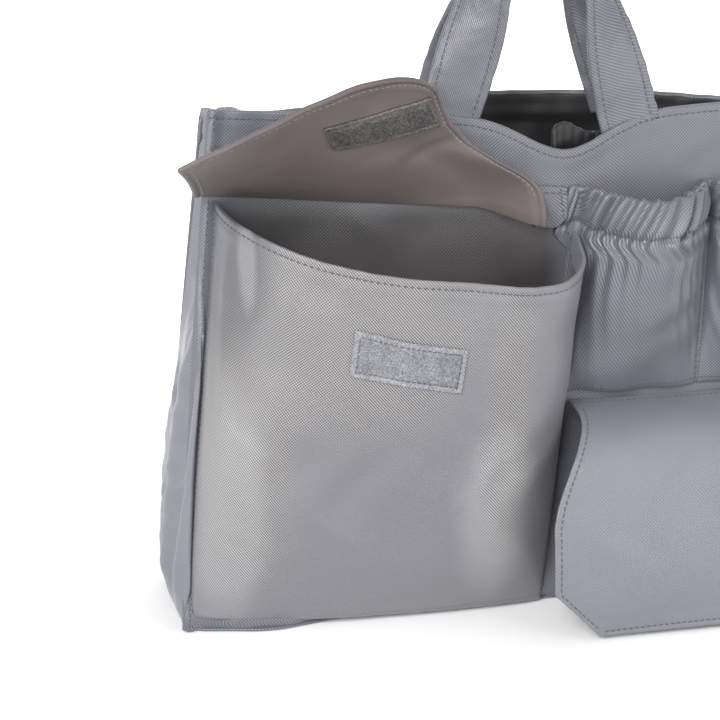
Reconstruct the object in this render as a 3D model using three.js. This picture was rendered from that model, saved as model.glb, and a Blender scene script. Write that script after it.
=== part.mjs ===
// Soft twill bag organizer: an open-topped fabric box with outside pockets, flaps and two handles.
// Millimetres, +Z up, front towards -Y. The origin is the middle of the base's underside.
import * as THREE from 'three';

// Overall size of the standing box
const baseWidth = 340;
const baseDepth = 76;
const wallHeight = 245;

// How the soft box deforms: its ends are drawn together at the rim, and its walls bow out between them
const ridgeX = 10;
const ridgeRound = 8;
const frontWaist = 4;
const backWaist = 4;
const endRimFront = 20;
const endRimBack = 4;
const frontBow = 20;
const backBow = 34;
const rimSag = 5;
const frontRimDip = 9;
const frontDipReach = 30;
const topTaper = 19;
const taperPower = 1.3;
const endBulge = 6;
const endFold = 18;
const endRimDrop = 5;

// Layers and clearances
const wallFabric = 2;
const liningFabric = 1;
const pocketFabric = 1.5;
const flapFabric = 1;
const flapLiningFabric = 0.6;
const tapeThickness = 1.5;
const elasticThickness = 1.2;
const seamGap = 0.3;
const edgeClear = 0.6;
const pocketGap = 0.5;
const liningCornerInset = 4;
const flapClear = 0.5;
const lowerFlapClear = 0.1;
const foldGap = 0.45;

// Base: outer fabric, stiffener board and lining
const boardThickness = 2;
const baseCorner = 10;

// Rim elastic in the gathered end panels
const rimElasticWidth = 8;
const rimElasticBelow = 3;
const rimElasticEndInset = 1;

// Large patch pocket on the left of the front
const pocketBottom = 6;
const pocketSeamInset = 4;
const pocketRightFoot = 6;
const pocketRightMouth = 18;
const pocketMouthLeft = 203;
const pocketMouthRight = 184;
const pocketMouthDip = 20;
const pocketMouthDipAt = 0.66;
const pocketSwell = 54;
const pocketRoundness = 2.6;

// Hook and loop tape
const tapeWidth = 20;
const tapeLength = 50;
const loopStripCentreX = -71.5;
const loopStripTopShare = 0.835;

// Flap over the large pocket, held open as it stands
const flapHingeLeftHeight = 207;
const flapHingeRightHeight = 197;
const flapLeftInset = 6;
const flapRight = 6;
const flapLength = 88;
const flapFoldAt = 46;
const flapFlare = 17.5;
const flapSlant = 63;
const flapSlantPower = 2.4;
const flapCornerCut = 18;
const flapRiseLeft = 23;
const flapRiseRight = 78;
const hookStripFromFold = 2.5;
const hookStripCentreShare = 0.74;

// Elastic-topped pocket in two bays on the right of the front
const bottleLeft = 22;
const bottleSideInset = 6;
const bottleBottom = 108;
const bottleTop = 206;
const bottleSwell = 28;
const bottleDip = 4;
const bottleElasticWidth = 12;
const bottleElasticBelow = 4;

// Gusseted pocket below it, with its own flap
const lowerLeft = 25;
const lowerSideInset = 8;
const lowerBottom = 9;
const lowerRim = 70;
const lowerDepth = 34;
const lowerCrown = 4;
const lowerCorner = 12;
const lowerFlapHinge = 102;
const lowerFlapFromPocket = 5;
const lowerFlapSideInset = 5;
const lowerFlapFlare = 22;
const lowerFlapReach = 49;
const lowerFlapBottom = 3;
const lowerFlapChamfer = 22;
const lowerFlapTuck = 0.3;
const lowerTapeHeight = 24;

// Gathered slip pocket inside the front wall
const innerLeft = 6;
const innerSideInset = 34;
const innerBottom = 130;
const innerBelowRim = 3;
const innerSwell = 12;

// Carrying handles
const handleSpread = 84;
const handleLean = 16;
const handleBend = 27;
const handleTwist = 80;
const backHandleShift = 14;
const strapWidth = 26;
const strapThickness = 3;
const handleGap = 0.9;

// Fabric colours
const twill = new THREE.MeshStandardMaterial({ color: 0x777a7e, roughness: 0.7, metalness: 0 });
const lining = new THREE.MeshStandardMaterial({ color: 0x55565a, roughness: 0.6, metalness: 0 });
const coated = new THREE.MeshStandardMaterial({ color: 0x7f7a74, roughness: 0.6, metalness: 0 });
const tape = new THREE.MeshStandardMaterial({ color: 0x8f9194, roughness: 0.95, metalness: 0 });
const hooks = new THREE.MeshStandardMaterial({ color: 0x5f6164, roughness: 0.8, metalness: 0 });
const elastic = new THREE.MeshStandardMaterial({ color: 0x4a4b4e, roughness: 0.9, metalness: 0 });
const board = new THREE.MeshStandardMaterial({ color: 0x2c2d30, roughness: 0.7, metalness: 0 });

const organizer = new THREE.Group();
const { smoothstep, lerp, degToRad } = THREE.MathUtils;

// Outline of the soft box

function halfWidth(z) {
  return baseWidth / 2 - topTaper * (z / wallHeight) ** taperPower;
}

// Share of a wall's bow, from nothing at its ends to all of it at its ridge
function ridgeShare(x, ridge) {
  const reach = Math.hypot(baseWidth / 2, ridgeRound) - ridgeRound;
  return 1 - (Math.hypot(x - ridge, ridgeRound) - ridgeRound) / reach;
}

function frontFace(x, z) {
  const share = ridgeShare(x, ridgeX);
  return lerp(-baseDepth / 2 + frontWaist * share, -endRimFront - frontBow * share, z / wallHeight);
}

function backFace(x, z) {
  const share = ridgeShare(x, 0);
  return lerp(baseDepth / 2 - backWaist * share, endRimBack + backBow * share, z / wallHeight);
}

function backRim(x) {
  return wallHeight - rimSag * (1 - (x / (baseWidth / 2)) ** 2);
}

function frontRim(x) {
  return backRim(x) - frontRimDip * Math.exp(-(((x - ridgeX) / frontDipReach) ** 2));
}

// How far the middle of an end stands out, or is folded in towards the rim
function endBow(z) {
  const share = z / wallHeight;
  const bulge = endBulge * smoothstep(share, 0, 0.18) * (1 - smoothstep(share, 0.3, 0.7));
  return bulge - endFold * smoothstep(share, 0.35, 1);
}

// Closed solid between two matching grids of points
function sheet(near, far, columns, rows) {
  const positions = [];
  const index = [];
  const layer = (columns + 1) * (rows + 1);
  const at = (side, i, j) => side * layer + j * (columns + 1) + i;
  for (const surface of [near, far]) {
    for (let j = 0; j <= rows; j++) {
      for (let i = 0; i <= columns; i++) {
        positions.push(...surface(i / columns, j / rows).toArray());
      }
    }
  }
  const quad = (a, b, c, d) => index.push(a, b, c, a, c, d);
  for (let j = 0; j < rows; j++) {
    for (let i = 0; i < columns; i++) {
      quad(at(0, i, j), at(0, i + 1, j), at(0, i + 1, j + 1), at(0, i, j + 1));
      quad(at(1, i, j), at(1, i, j + 1), at(1, i + 1, j + 1), at(1, i + 1, j));
    }
  }
  for (let i = 0; i < columns; i++) {
    quad(at(0, i, 0), at(1, i, 0), at(1, i + 1, 0), at(0, i + 1, 0));
    quad(at(0, i, rows), at(0, i + 1, rows), at(1, i + 1, rows), at(1, i, rows));
  }
  for (let j = 0; j < rows; j++) {
    quad(at(0, 0, j), at(0, 0, j + 1), at(1, 0, j + 1), at(1, 0, j));
    quad(at(0, columns, j), at(1, columns, j), at(1, columns, j + 1), at(0, columns, j + 1));
  }
  return outward(positions, index);
}

// Geometry whose faces point out, whichever way its grid ran
function outward(positions, index) {
  const corner = (k) => new THREE.Vector3().fromArray(positions, 3 * index[k]);
  let volume = 0;
  for (let k = 0; k < index.length; k += 3) {
    volume += corner(k).dot(corner(k + 1).cross(corner(k + 2)));
  }
  if (volume < 0) {
    index.reverse();
  }
  const geometry = new THREE.BufferGeometry();
  geometry.setAttribute('position', new THREE.Float32BufferAttribute(positions, 3));
  geometry.setIndex(index);
  return geometry;
}

// The same surface moved along its normal, which is across(u) x along(v)
function offset(surface, distance) {
  const step = 0.004;
  return (u, v) => {
    const across = surface(Math.min(u + step, 1), v).sub(surface(Math.max(u - step, 0), v));
    const along = surface(u, Math.min(v + step, 1)).sub(surface(u, Math.max(v - step, 0)));
    return surface(u, v).addScaledVector(across.cross(along).normalize(), distance);
  };
}

function layer(surface, from, to, columns, rows) {
  return sheet(offset(surface, from), offset(surface, to), columns, rows);
}

function add(name, geometry, material) {
  const mesh = new THREE.Mesh(geometry, material);
  mesh.name = name;
  organizer.add(mesh);
}

// Front and back walls with their linings

const wallStart = wallFabric + seamGap;
const wallColumns = 16;
const wallRows = 5;

function wall(face, rim, inward, depth, sideInset) {
  return (u, v) => {
    const nominal = lerp(wallStart, wallHeight, v);
    const x = (2 * u - 1) * (halfWidth(nominal) - sideInset);
    const z = lerp(wallStart, rim(x), v);
    return new THREE.Vector3(x, face(x, z) + inward * depth, z);
  };
}

const liningDepth = wallFabric + seamGap;
const liningSideInset = liningDepth + liningCornerInset;

function addWall(name, face, rim, inward) {
  const outer = wall(face, rim, inward, 0, 0);
  const inner = wall(face, rim, inward, wallFabric, 0);
  add(`${name}_panel`, sheet(outer, inner, wallColumns, wallRows), twill);
  const liningNear = wall(face, rim, inward, liningDepth, liningSideInset);
  const liningFar = wall(face, rim, inward, liningDepth + liningFabric, liningSideInset);
  add(`${name}_lining`, sheet(liningNear, liningFar, wallColumns, wallRows), lining);
}

addWall('front', frontFace, frontRim, 1);
addWall('back', backFace, backRim, -1);

// End panels, gathered on elastic at the rim and swelling lower down

const endColumns = 8;
const endRows = 12;
const endRim = wallHeight - endRimDrop;
const panelInset = wallFabric + edgeClear;
const elasticDepth = wallFabric + edgeClear;
const endLiningDepth = elasticDepth + elasticThickness + edgeClear;

function end(side, depth, edgeInset, from, to) {
  return (u, v) => {
    const z = lerp(from, to, v);
    const x = halfWidth(z);
    const front = frontFace(side * (x - depth), z);
    const back = backFace(side * (x - depth), z);
    const y = lerp(front + edgeInset, back - edgeInset, u);
    const share = (y - front - panelInset) / (back - front - 2 * panelInset);
    const swell = endBow(z) * 4 * share * (1 - share);
    return new THREE.Vector3(side * (x + swell - depth), y, z);
  };
}

function addEnd(name, side) {
  const liningInset = liningDepth + liningFabric + edgeClear;
  const outer = end(side, 0, panelInset, wallStart, endRim);
  const inner = end(side, wallFabric, panelInset, wallStart, endRim);
  add(`${name}_end_panel`, sheet(outer, inner, endColumns, endRows), twill);
  const liningNear = end(side, endLiningDepth, liningInset, wallStart, endRim);
  const liningFar = end(side, endLiningDepth + liningFabric, liningInset, wallStart, endRim);
  add(`${name}_end_lining`, sheet(liningNear, liningFar, endColumns, endRows), lining);
  const elasticTop = endRim - rimElasticBelow;
  const elasticBottom = elasticTop - rimElasticWidth;
  const elasticInset = liningInset + rimElasticEndInset;
  const near = end(side, elasticDepth, elasticInset, elasticBottom, elasticTop);
  const far = end(side, elasticDepth + elasticThickness, elasticInset, elasticBottom, elasticTop);
  add(`${name}_rim_elastic`, sheet(near, far, endColumns, 1), elastic);
}

addEnd('left', -1);
addEnd('right', 1);

// Base panel, stiffener board and base lining

function baseOutline(inset) {
  const outline = new THREE.Shape();
  const half = baseWidth / 2 - inset;
  const steps = 12;
  const front = (x) => frontFace(x, 0) + inset;
  const back = (x) => backFace(x, 0) - inset;
  outline.moveTo(-half + baseCorner, front(-half + baseCorner));
  for (let k = 1; k <= steps; k++) {
    const x = lerp(-half + baseCorner, half - baseCorner, k / steps);
    outline.lineTo(x, front(x));
  }
  outline.quadraticCurveTo(half, front(half), half, front(half) + baseCorner);
  outline.lineTo(half, back(half) - baseCorner);
  outline.quadraticCurveTo(half, back(half), half - baseCorner, back(half - baseCorner));
  for (let k = 1; k <= steps; k++) {
    const x = lerp(half - baseCorner, -half + baseCorner, k / steps);
    outline.lineTo(x, back(x));
  }
  outline.quadraticCurveTo(-half, back(-half), -half, back(-half) - baseCorner);
  outline.lineTo(-half, front(-half) + baseCorner);
  outline.quadraticCurveTo(-half, front(-half), -half + baseCorner, front(-half + baseCorner));
  return outline;
}

function baseLayer(inset, from, thickness) {
  const options = { depth: thickness, bevelEnabled: false, curveSegments: 4 };
  return new THREE.ExtrudeGeometry(baseOutline(inset), options).translate(0, 0, from);
}

const boardInset = endLiningDepth + liningFabric + seamGap + edgeClear;
const boardBottom = wallFabric + seamGap;
const baseLiningBottom = boardBottom + boardThickness + seamGap;
add('base_panel', baseLayer(0, 0, wallFabric), twill);
add('base_board', baseLayer(boardInset, boardBottom, boardThickness), board);
add('base_lining', baseLayer(boardInset, baseLiningBottom, liningFabric), lining);

// Large patch pocket: a pouch whose mouth gapes forward and dips

const dipPower = Math.log(0.5) / Math.log(pocketMouthDipAt);

function pocketMouth(share) {
  const dip = pocketMouthDip * Math.sin(Math.PI * share ** dipPower);
  return lerp(pocketMouthLeft, pocketMouthRight, share) - dip;
}

function pocketRight(z) {
  return lerp(pocketRightFoot, pocketRightMouth, z / pocketMouthRight);
}

// Share of the pocket's girth, from its left seam to its right seam, at a place across it
function pocketPoint(share, v) {
  const angle = Math.PI * share;
  const power = 2 / pocketRoundness;
  const c = Math.cos(angle);
  const z = lerp(pocketBottom, pocketMouth(share), v);
  const left = -halfWidth(z) + pocketSeamInset;
  const across = 0.5 - 0.5 * Math.sign(c) * Math.abs(c) ** power;
  const x = lerp(left, pocketRight(z), across);
  const swell = pocketSwell * Math.sqrt(0.01 + 0.99 * v);
  const depth = pocketGap + swell * Math.max(Math.sin(angle), 0) ** power;
  return new THREE.Vector3(x, frontFace(x, z) - depth, z);
}

function pocketShare(x, v) {
  const z = lerp(pocketBottom, pocketMouth(0.5), v);
  const left = -halfWidth(z) + pocketSeamInset;
  const across = 1 - (2 * (x - left)) / (pocketRight(z) - left);
  return Math.acos(Math.sign(across) * Math.abs(across) ** (pocketRoundness / 2)) / Math.PI;
}

add('diaper_pocket', layer(pocketPoint, 0, -pocketFabric, 20, 10), twill);

// Loop strip sewn to the front of the large pocket
function loopStripPoint(u, v) {
  const drop = tapeWidth / (pocketMouth(0.5) - pocketBottom);
  const share = loopStripTopShare - drop * (1 - v);
  const x = loopStripCentreX + (u - 0.5) * tapeLength;
  return pocketPoint(pocketShare(x, share), share);
}

add('pocket_loop_strip', layer(loopStripPoint, seamGap, seamGap + tapeThickness, 8, 3), tape);

// Hinge line of a flap along the front wall

const flapUpper = seamGap / 2 + flapFabric;
const flapUnder = seamGap / 2 + flapLiningFabric;

function hingeLine(from, to, fromHeight, toHeight, clear) {
  const depth = flapUpper + clear;
  const start = new THREE.Vector3(from, frontFace(from, fromHeight) - depth, fromHeight);
  const finish = new THREE.Vector3(to, frontFace(to, toHeight) - depth, toHeight);
  const along = finish.clone().sub(start);
  const forward = new THREE.Vector3(along.y, -along.x, 0).normalize();
  return { start, along, forward, length: along.length() };
}

// Flap over the large pocket: a root that lies over the mouth and a tip that folds down

const flapLeft = -halfWidth(flapHingeLeftHeight) + flapLeftInset;
const flapHinge = hingeLine(flapLeft, flapRight, flapHingeLeftHeight, flapHingeRightHeight, flapClear);
const up = new THREE.Vector3(0, 0, 1);

function flapPlace(share, reach) {
  const rise = degToRad(lerp(flapRiseLeft, flapRiseRight, share));
  return flapHinge.start
    .clone()
    .addScaledVector(flapHinge.along, share)
    .addScaledVector(flapHinge.forward, reach * Math.cos(rise))
    .addScaledVector(up, reach * Math.sin(rise));
}

// Share along the hinge at a share across the flap: it flares on the left and curves in on the right
function flapShare(u, reach) {
  const out = reach / flapLength;
  const left = (-flapFlare / flapHinge.length) * out;
  const right = 1 - (flapSlant / flapHinge.length) * (1 - (1 - out) ** flapSlantPower);
  return lerp(left, right, u);
}

function flapEdge(u) {
  const reach = flapLength - flapCornerCut * Math.max(0, (u - 0.8) / 0.2) ** 2;
  return flapPlace(flapShare(u, reach), reach);
}

// The fold between root and tip is a straight line, so that it can be a hinge
const foldLeft = flapPlace(flapShare(0, flapFoldAt), flapFoldAt);
const foldRight = flapPlace(flapShare(1, flapFoldAt), flapFoldAt);
const tipLength = flapLength - flapFoldAt;

function flapFold(u) {
  return foldLeft.clone().lerp(foldRight, u);
}

function flapRoot(u, v) {
  return flapPlace(u, 0).lerp(flapFold(u), v * (1 - foldGap / flapFoldAt));
}

function onTip(u, share) {
  return flapFold(u).lerp(flapEdge(u), share);
}

function flapTip(u, v) {
  return onTip(u, lerp(foldGap / tipLength, 1, v));
}

function hookStrip(u, v) {
  const across = hookStripCentreShare + ((u - 0.5) * tapeLength) / foldLeft.distanceTo(foldRight);
  const fromFold = hookStripFromFold + v * tapeWidth;
  return onTip(across, fromFold / flapFold(across).distanceTo(flapEdge(across)));
}

const hookUpper = flapUnder + seamGap;
add('diaper_flap_root', layer(flapRoot, -flapUpper, -seamGap / 2, 12, 4), twill);
add('diaper_flap_root_lining', layer(flapRoot, seamGap / 2, flapUnder, 12, 4), coated);
add('diaper_flap_tip', layer(flapTip, -flapUpper, -seamGap / 2, 12, 4), twill);
add('diaper_flap_tip_lining', layer(flapTip, seamGap / 2, flapUnder, 12, 4), coated);
add('flap_hook_strip', layer(hookStrip, hookUpper, hookUpper + tapeThickness, 6, 2), hooks);

// Elastic-topped pocket, stitched down the middle into two bays

function bottlePoint(u, v) {
  const right = halfWidth(bottleTop) - bottleSideInset;
  const x = lerp(bottleLeft, right, u);
  const bay = Math.abs(Math.sin(2 * Math.PI * u));
  const z = lerp(bottleBottom, bottleTop - bottleDip * bay, v);
  const swell = bottleSwell * (0.04 + 0.96 * Math.sin(Math.PI * (0.02 + 0.64 * v)));
  const depth = pocketGap + pocketFabric + swell * bay ** 0.8;
  return new THREE.Vector3(x, frontFace(x, z) - depth, z);
}

add('bottle_pocket', layer(bottlePoint, 0, -pocketFabric, 24, 6), twill);

// One length of elastic in the casing of each bay
function bayElastic(bay) {
  const height = bottleTop - bottleBottom;
  const top = 1 - bottleElasticBelow / height;
  const bottom = top - bottleElasticWidth / height;
  return (u, v) => bottlePoint((bay + lerp(0.12, 0.88, u)) / 2, lerp(bottom, top, v));
}

const bayElasticDepth = pocketFabric + seamGap;
['left', 'right'].forEach((name, bay) => {
  const strip = layer(bayElastic(bay), -bayElasticDepth - elasticThickness, -bayElasticDepth, 10, 1);
  add(`bottle_pocket_${name}_elastic`, strip, elastic);
});

// Gusseted pocket under it: a front, and one gusset strip round its sides and bottom

const lowerRight = halfWidth(lowerRim) - lowerSideInset;

function lowerFront(u, v) {
  const x = lerp(lowerLeft, lowerRight, u);
  const z = lerp(lowerBottom, lowerRim, v);
  const crown = lowerCrown * Math.sin(Math.PI * u) * Math.sin((Math.PI * (1 + 2 * v)) / 4);
  return new THREE.Vector3(x, frontFace(x, z) - lowerDepth - crown, z);
}

// Path of the gusset: down the left side, along the bottom and up the right side
const gussetPath = new THREE.Path();
gussetPath.moveTo(lowerLeft, lowerRim);
gussetPath.lineTo(lowerLeft, lowerBottom + lowerCorner);
gussetPath.absarc(lowerLeft + lowerCorner, lowerBottom + lowerCorner, lowerCorner, Math.PI, 1.5 * Math.PI);
gussetPath.lineTo(lowerRight - lowerCorner, lowerBottom);
gussetPath.absarc(lowerRight - lowerCorner, lowerBottom + lowerCorner, lowerCorner, -0.5 * Math.PI, 0);
gussetPath.lineTo(lowerRight, lowerRim);

function gusset(inset) {
  return (u, v) => {
    const place = gussetPath.getPointAt(u);
    const heading = gussetPath.getTangentAt(u);
    const x = place.x - heading.y * inset;
    const z = place.y + heading.x * inset;
    const depth = lerp(pocketGap, lowerDepth - pocketFabric - seamGap, v);
    return new THREE.Vector3(x, frontFace(x, z) - depth, z);
  };
}

add('lower_pocket_front', layer(lowerFront, 0, -pocketFabric, 8, 4), twill);
add('lower_pocket_gusset', sheet(gusset(0), gusset(pocketFabric), 28, 1), twill);

function lowerLoopStrip(u, v) {
  const middle = (lowerLeft + lowerRight) / 2;
  const x = middle + (u - 0.5) * tapeLength;
  const z = lowerTapeHeight + v * tapeWidth;
  return lowerFront((x - lowerLeft) / (lowerRight - lowerLeft), (z - lowerBottom) / (lowerRim - lowerBottom));
}

add('lower_loop_strip', layer(lowerLoopStrip, seamGap, seamGap + tapeThickness, 6, 2), tape);

// Flap of the lower pocket: over its rim and down its front, with cut corners

const lowerFlapRight = halfWidth(lowerFlapHinge) - lowerFlapSideInset;
const lowerFlapLeft = pocketRight(lowerFlapHinge) + lowerFlapFromPocket;
const lowerHinge = hingeLine(lowerFlapLeft, lowerFlapRight, lowerFlapHinge, lowerFlapHinge, lowerFlapClear);
const lowerFlapDrop = lowerFlapHinge - lowerFlapBottom;
const lowerFlapProfile = new THREE.CubicBezierCurve(
  new THREE.Vector2(-lowerFlapTuck, 0),
  new THREE.Vector2(lowerFlapReach * 0.7, -2),
  new THREE.Vector2(lowerFlapReach, -lowerFlapDrop * 0.16),
  new THREE.Vector2(lowerFlapReach, -lowerFlapDrop),
);
const lowerFlapLength = lowerFlapProfile.getLength();
const chamferStart = 1 - lowerFlapChamfer / lowerFlapLength;
const chamferShare = lowerFlapChamfer / lowerHinge.length;
const flareShare = lowerFlapFlare / lowerHinge.length;

function lowerFlapPlace(share, along) {
  const place = lowerFlapProfile.getPointAt(along);
  return lowerHinge.start
    .clone()
    .addScaledVector(lowerHinge.along, share)
    .addScaledVector(lowerHinge.forward, place.x)
    .addScaledVector(up, place.y);
}

function lowerFlapPoint(u, v) {
  const along = v < 0.8 ? (v / 0.8) * chamferStart : lerp(chamferStart, 1, (v - 0.8) / 0.2);
  const cut = chamferShare * Math.max(0, (along - chamferStart) / (1 - chamferStart));
  const flare = flareShare * smoothstep(along, 0.1, 0.6);
  return lowerFlapPlace(lerp(cut - flare, 1 - cut, u), along);
}

function lowerHookStrip(u, v) {
  const share = 0.5 + ((u - 0.5) * tapeLength) / lowerHinge.length;
  const fromEdge = lowerTapeHeight - lowerFlapBottom + v * tapeWidth;
  return lowerFlapPlace(share, 1 - fromEdge / lowerFlapLength);
}

add('lower_flap', layer(lowerFlapPoint, -flapUpper, -seamGap / 2, 8, 10), twill);
add('lower_flap_lining', layer(lowerFlapPoint, seamGap / 2, flapUnder, 8, 10), coated);
add('lower_hook_strip', layer(lowerHookStrip, -hookUpper - tapeThickness, -hookUpper, 6, 2), hooks);

// Gathered slip pocket on the inside of the front wall

function innerPoint(u, v) {
  const right = halfWidth(wallHeight) - innerSideInset;
  const x = lerp(innerLeft, right, u);
  const z = lerp(innerBottom, frontRim(ridgeX) - innerBelowRim, v);
  const swell = innerSwell * Math.sin(Math.PI * u) ** 0.5 * Math.sin(Math.PI * (0.08 + 0.6 * v));
  const depth = liningDepth + liningFabric + pocketGap + pocketFabric + swell;
  return new THREE.Vector3(x, frontFace(x, z) + depth, z);
}

add('inner_pocket', layer(innerPoint, 0, pocketFabric, 14, 5), lining);

// Carrying handles: a flat strap that leans in and bends over the top

const lean = degToRad(handleLean);
const legLength = (handleSpread / 2 - handleBend * Math.cos(lean)) / Math.sin(lean);
const bendSweep = Math.PI - 2 * lean;
const strapLength = 2 * legLength + handleBend * bendSweep;
const bendHeight = legLength * Math.cos(lean) - handleBend * Math.sin(lean);

// Place on the strap's middle line, the way out of its bend, and how far it is from its foot
function strapPlace(share) {
  const run = share * strapLength;
  const left = run < strapLength / 2;
  const fromFoot = left ? run : strapLength - run;
  if (fromFoot < legLength) {
    const x = handleSpread / 2 - fromFoot * Math.sin(lean);
    const z = fromFoot * Math.cos(lean);
    const side = left ? -1 : 1;
    const out = new THREE.Vector3(side * Math.cos(lean), 0, Math.sin(lean));
    return { place: new THREE.Vector3(side * x, 0, z), out, fromFoot };
  }
  const turn = lean + (run - legLength) / handleBend;
  const out = new THREE.Vector3(-Math.cos(turn), 0, Math.sin(turn));
  const place = out.clone().multiplyScalar(handleBend).add(new THREE.Vector3(0, 0, bendHeight));
  return { place, out, fromFoot };
}

// One face of a strap that is flat on the wall at its feet and turns its face up towards the top
function strap(feet, rim, inward, lift) {
  return (u, v) => {
    const { place, out, fromFoot } = strapPlace(v);
    const twist = degToRad(handleTwist) * smoothstep(fromFoot, 0, strapLength / 2);
    const wallward = new THREE.Vector3(0, inward, 0);
    const across = out.clone().multiplyScalar(Math.cos(twist)).addScaledVector(wallward, Math.sin(twist));
    const normal = out.clone().multiplyScalar(Math.sin(twist)).addScaledVector(wallward, -Math.cos(twist));
    const point = place.addScaledVector(across, (0.5 - u) * strapWidth).addScaledVector(normal, lift);
    point.y += lerp(feet.left, feet.right, 0.5 + point.x / handleSpread);
    point.x += feet.centre;
    point.z = v === 0 || v === 1 ? rim(point.x) + handleGap : point.z + feet.height;
    return point;
  };
}

function addHandle(name, face, rim, inward, centre) {
  const left = centre - handleSpread / 2;
  const right = centre + handleSpread / 2;
  const height = Math.max(rim(left), rim(right)) + handleGap;
  const inside = (inward * (liningDepth + liningFabric)) / 2;
  const feet = { centre, height, left: face(left, height) + inside, right: face(right, height) + inside };
  const near = strap(feet, rim, inward, strapThickness / 2);
  const far = strap(feet, rim, inward, -strapThickness / 2);
  add(`${name}_handle`, sheet(near, far, 4, 32), twill);
}

addHandle('front', frontFace, frontRim, 1, 0);
addHandle('back', backFace, backRim, -1, backHandleShift);

export default organizer;
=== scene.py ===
import math

import bpy
import numpy as np
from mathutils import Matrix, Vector


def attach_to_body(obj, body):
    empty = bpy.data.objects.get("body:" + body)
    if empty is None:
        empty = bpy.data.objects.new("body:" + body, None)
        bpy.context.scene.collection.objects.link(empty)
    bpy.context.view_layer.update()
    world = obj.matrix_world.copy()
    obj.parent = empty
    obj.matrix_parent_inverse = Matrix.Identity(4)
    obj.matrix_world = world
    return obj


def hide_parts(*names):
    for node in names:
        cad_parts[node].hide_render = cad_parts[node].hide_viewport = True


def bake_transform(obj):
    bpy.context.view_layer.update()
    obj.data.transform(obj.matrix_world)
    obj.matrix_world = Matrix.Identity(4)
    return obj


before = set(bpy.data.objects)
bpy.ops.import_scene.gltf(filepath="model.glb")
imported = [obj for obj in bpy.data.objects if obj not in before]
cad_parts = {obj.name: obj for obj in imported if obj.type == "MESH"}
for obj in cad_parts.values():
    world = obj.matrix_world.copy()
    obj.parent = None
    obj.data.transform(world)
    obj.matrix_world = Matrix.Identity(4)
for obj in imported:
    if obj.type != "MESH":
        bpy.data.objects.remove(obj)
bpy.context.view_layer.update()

# Sizes are in millimetres, as in the CAD model, and MM turns them into the frame's metres
MM = 0.001
SHELL = "shell"
UP = np.array([0, 0, 1.0])
FROM_FRONT = (0, -1, 0)

# Outline of the soft box
HALF_BASE = 170
BASE_DEPTH = 76
BASE_CORNER = 10
WALL_HEIGHT = 245
RIDGE_X = 10
RIDGE_ROUND = 8
WAIST = 4
END_RIM_FRONT = 20
END_RIM_BACK = 4
FRONT_BOW = 20
BACK_BOW = 34
RIM_SAG = 5
RIM_DIP = 9
RIM_DIP_REACH = 30
SOFT_DIP = 8
SOFT_DIP_AT = RIDGE_X + 4
SOFT_DIP_REACH = 26
BACK_DROP = 7
BACK_DROP_REACH = (40, 150)
TOP_TAPER = 19
TAPER_POWER = 1.3
END_BULGE = 6
END_FOLD = 18
END_RIM = 240
WALL_FOOT = 0.8
FOOT_ROUND = 5
END_GAP = 0.7
END_FOOT_ROUND = 10
END_ROLL = 7
END_OVER = 4.5
END_LINING_DEPTH = 6
FOOT_BULGE = 8
FOOT_BULGE_AT = -128
FOOT_BULGE_REACH = 26
FOOT_BULGE_HEIGHT = (5, 22)

# Sewing, with the cloth that is turned in at each hem
STITCH_PITCH = 3.0
STITCH_LENGTH = 2.3
STITCH_RADIUS = 0.33
STITCH_SIDES = 6
ROW_FROM_EDGE = 2.6
SEAM_ROW = 3.4
SIDE_ROW = 2.4
FLAP_ROW = 3.6
RIM_STEPS = 4
LINING_THICK = 0.5
WALL_HEM = 12
END_HEM = 13
END_CASING_ROW = 12.5
POCKET_HEM = 10
SLIP_CASING_ROW = 9

# Columns and rows of each cloth
WALL_GRID = (150, 110)
END_GRID = (70, 120)
BASE_GRID = (110, 26)
POCKET_GRID = (170, 120)
TAPE_GRID = (60, 26)
FLAP_GRID = (120, 80)
TAB_GRID = (30, 30)
BOTTLE_GRID = (190, 80)
LOWER_GRID = (90, 44)
GUSSET_GRID = (150, 20)
LOWER_FLAP_GRID = (100, 100)
SLIP_GRID = (90, 50)
STRAP_GRID = (18, 190)

# Large patch pocket
POCKET_BOTTOM = 5
POCKET_BOTTOM_LEFT = 12
POCKET_CURL = 7
POCKET_CURL_DROP = 4
POCKET_SEAM_INSET = 6
POCKET_RIGHT_FOOT = 6
POCKET_RIGHT_MOUTH = 18
POCKET_GIRTH_AT = 0.85
MOUTH_LEFT = 203
MOUTH_RIGHT = 184
MOUTH_DIP = 20
MOUTH_DIP_AT = 0.66
POCKET_SWELL = 54
POCKET_ROUNDNESS = 2.6
POCKET_GAP = 0.5

# Edges of the part of the front wall that the large pocket covers, each from clear to dark, where the wall
# takes a painted shade
COVERED_TOP = (192, 206)
COVERED_RIGHT = (2, 16)
COVERED_LEFT = (6 - HALF_BASE, 9 - HALF_BASE)
COVERED_FOOT = (12, 20)

# Hook and loop tape
TAPE_WIDTH = 20
TAPE_LENGTH = 50
TAPE_LIFT = 1.1
TAPE_ROW = 2.2
TAPE_STITCH = (2.5, 1.9, 0.28)
PILE_PITCH = 0.95
PILE_STEPS = 5
PILE_THIN = 0.1
LOOP_CENTRE_X = -71.5
LOOP_TOP_SHARE = 0.835
LOOP_TILT = math.radians(5.5)

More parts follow.
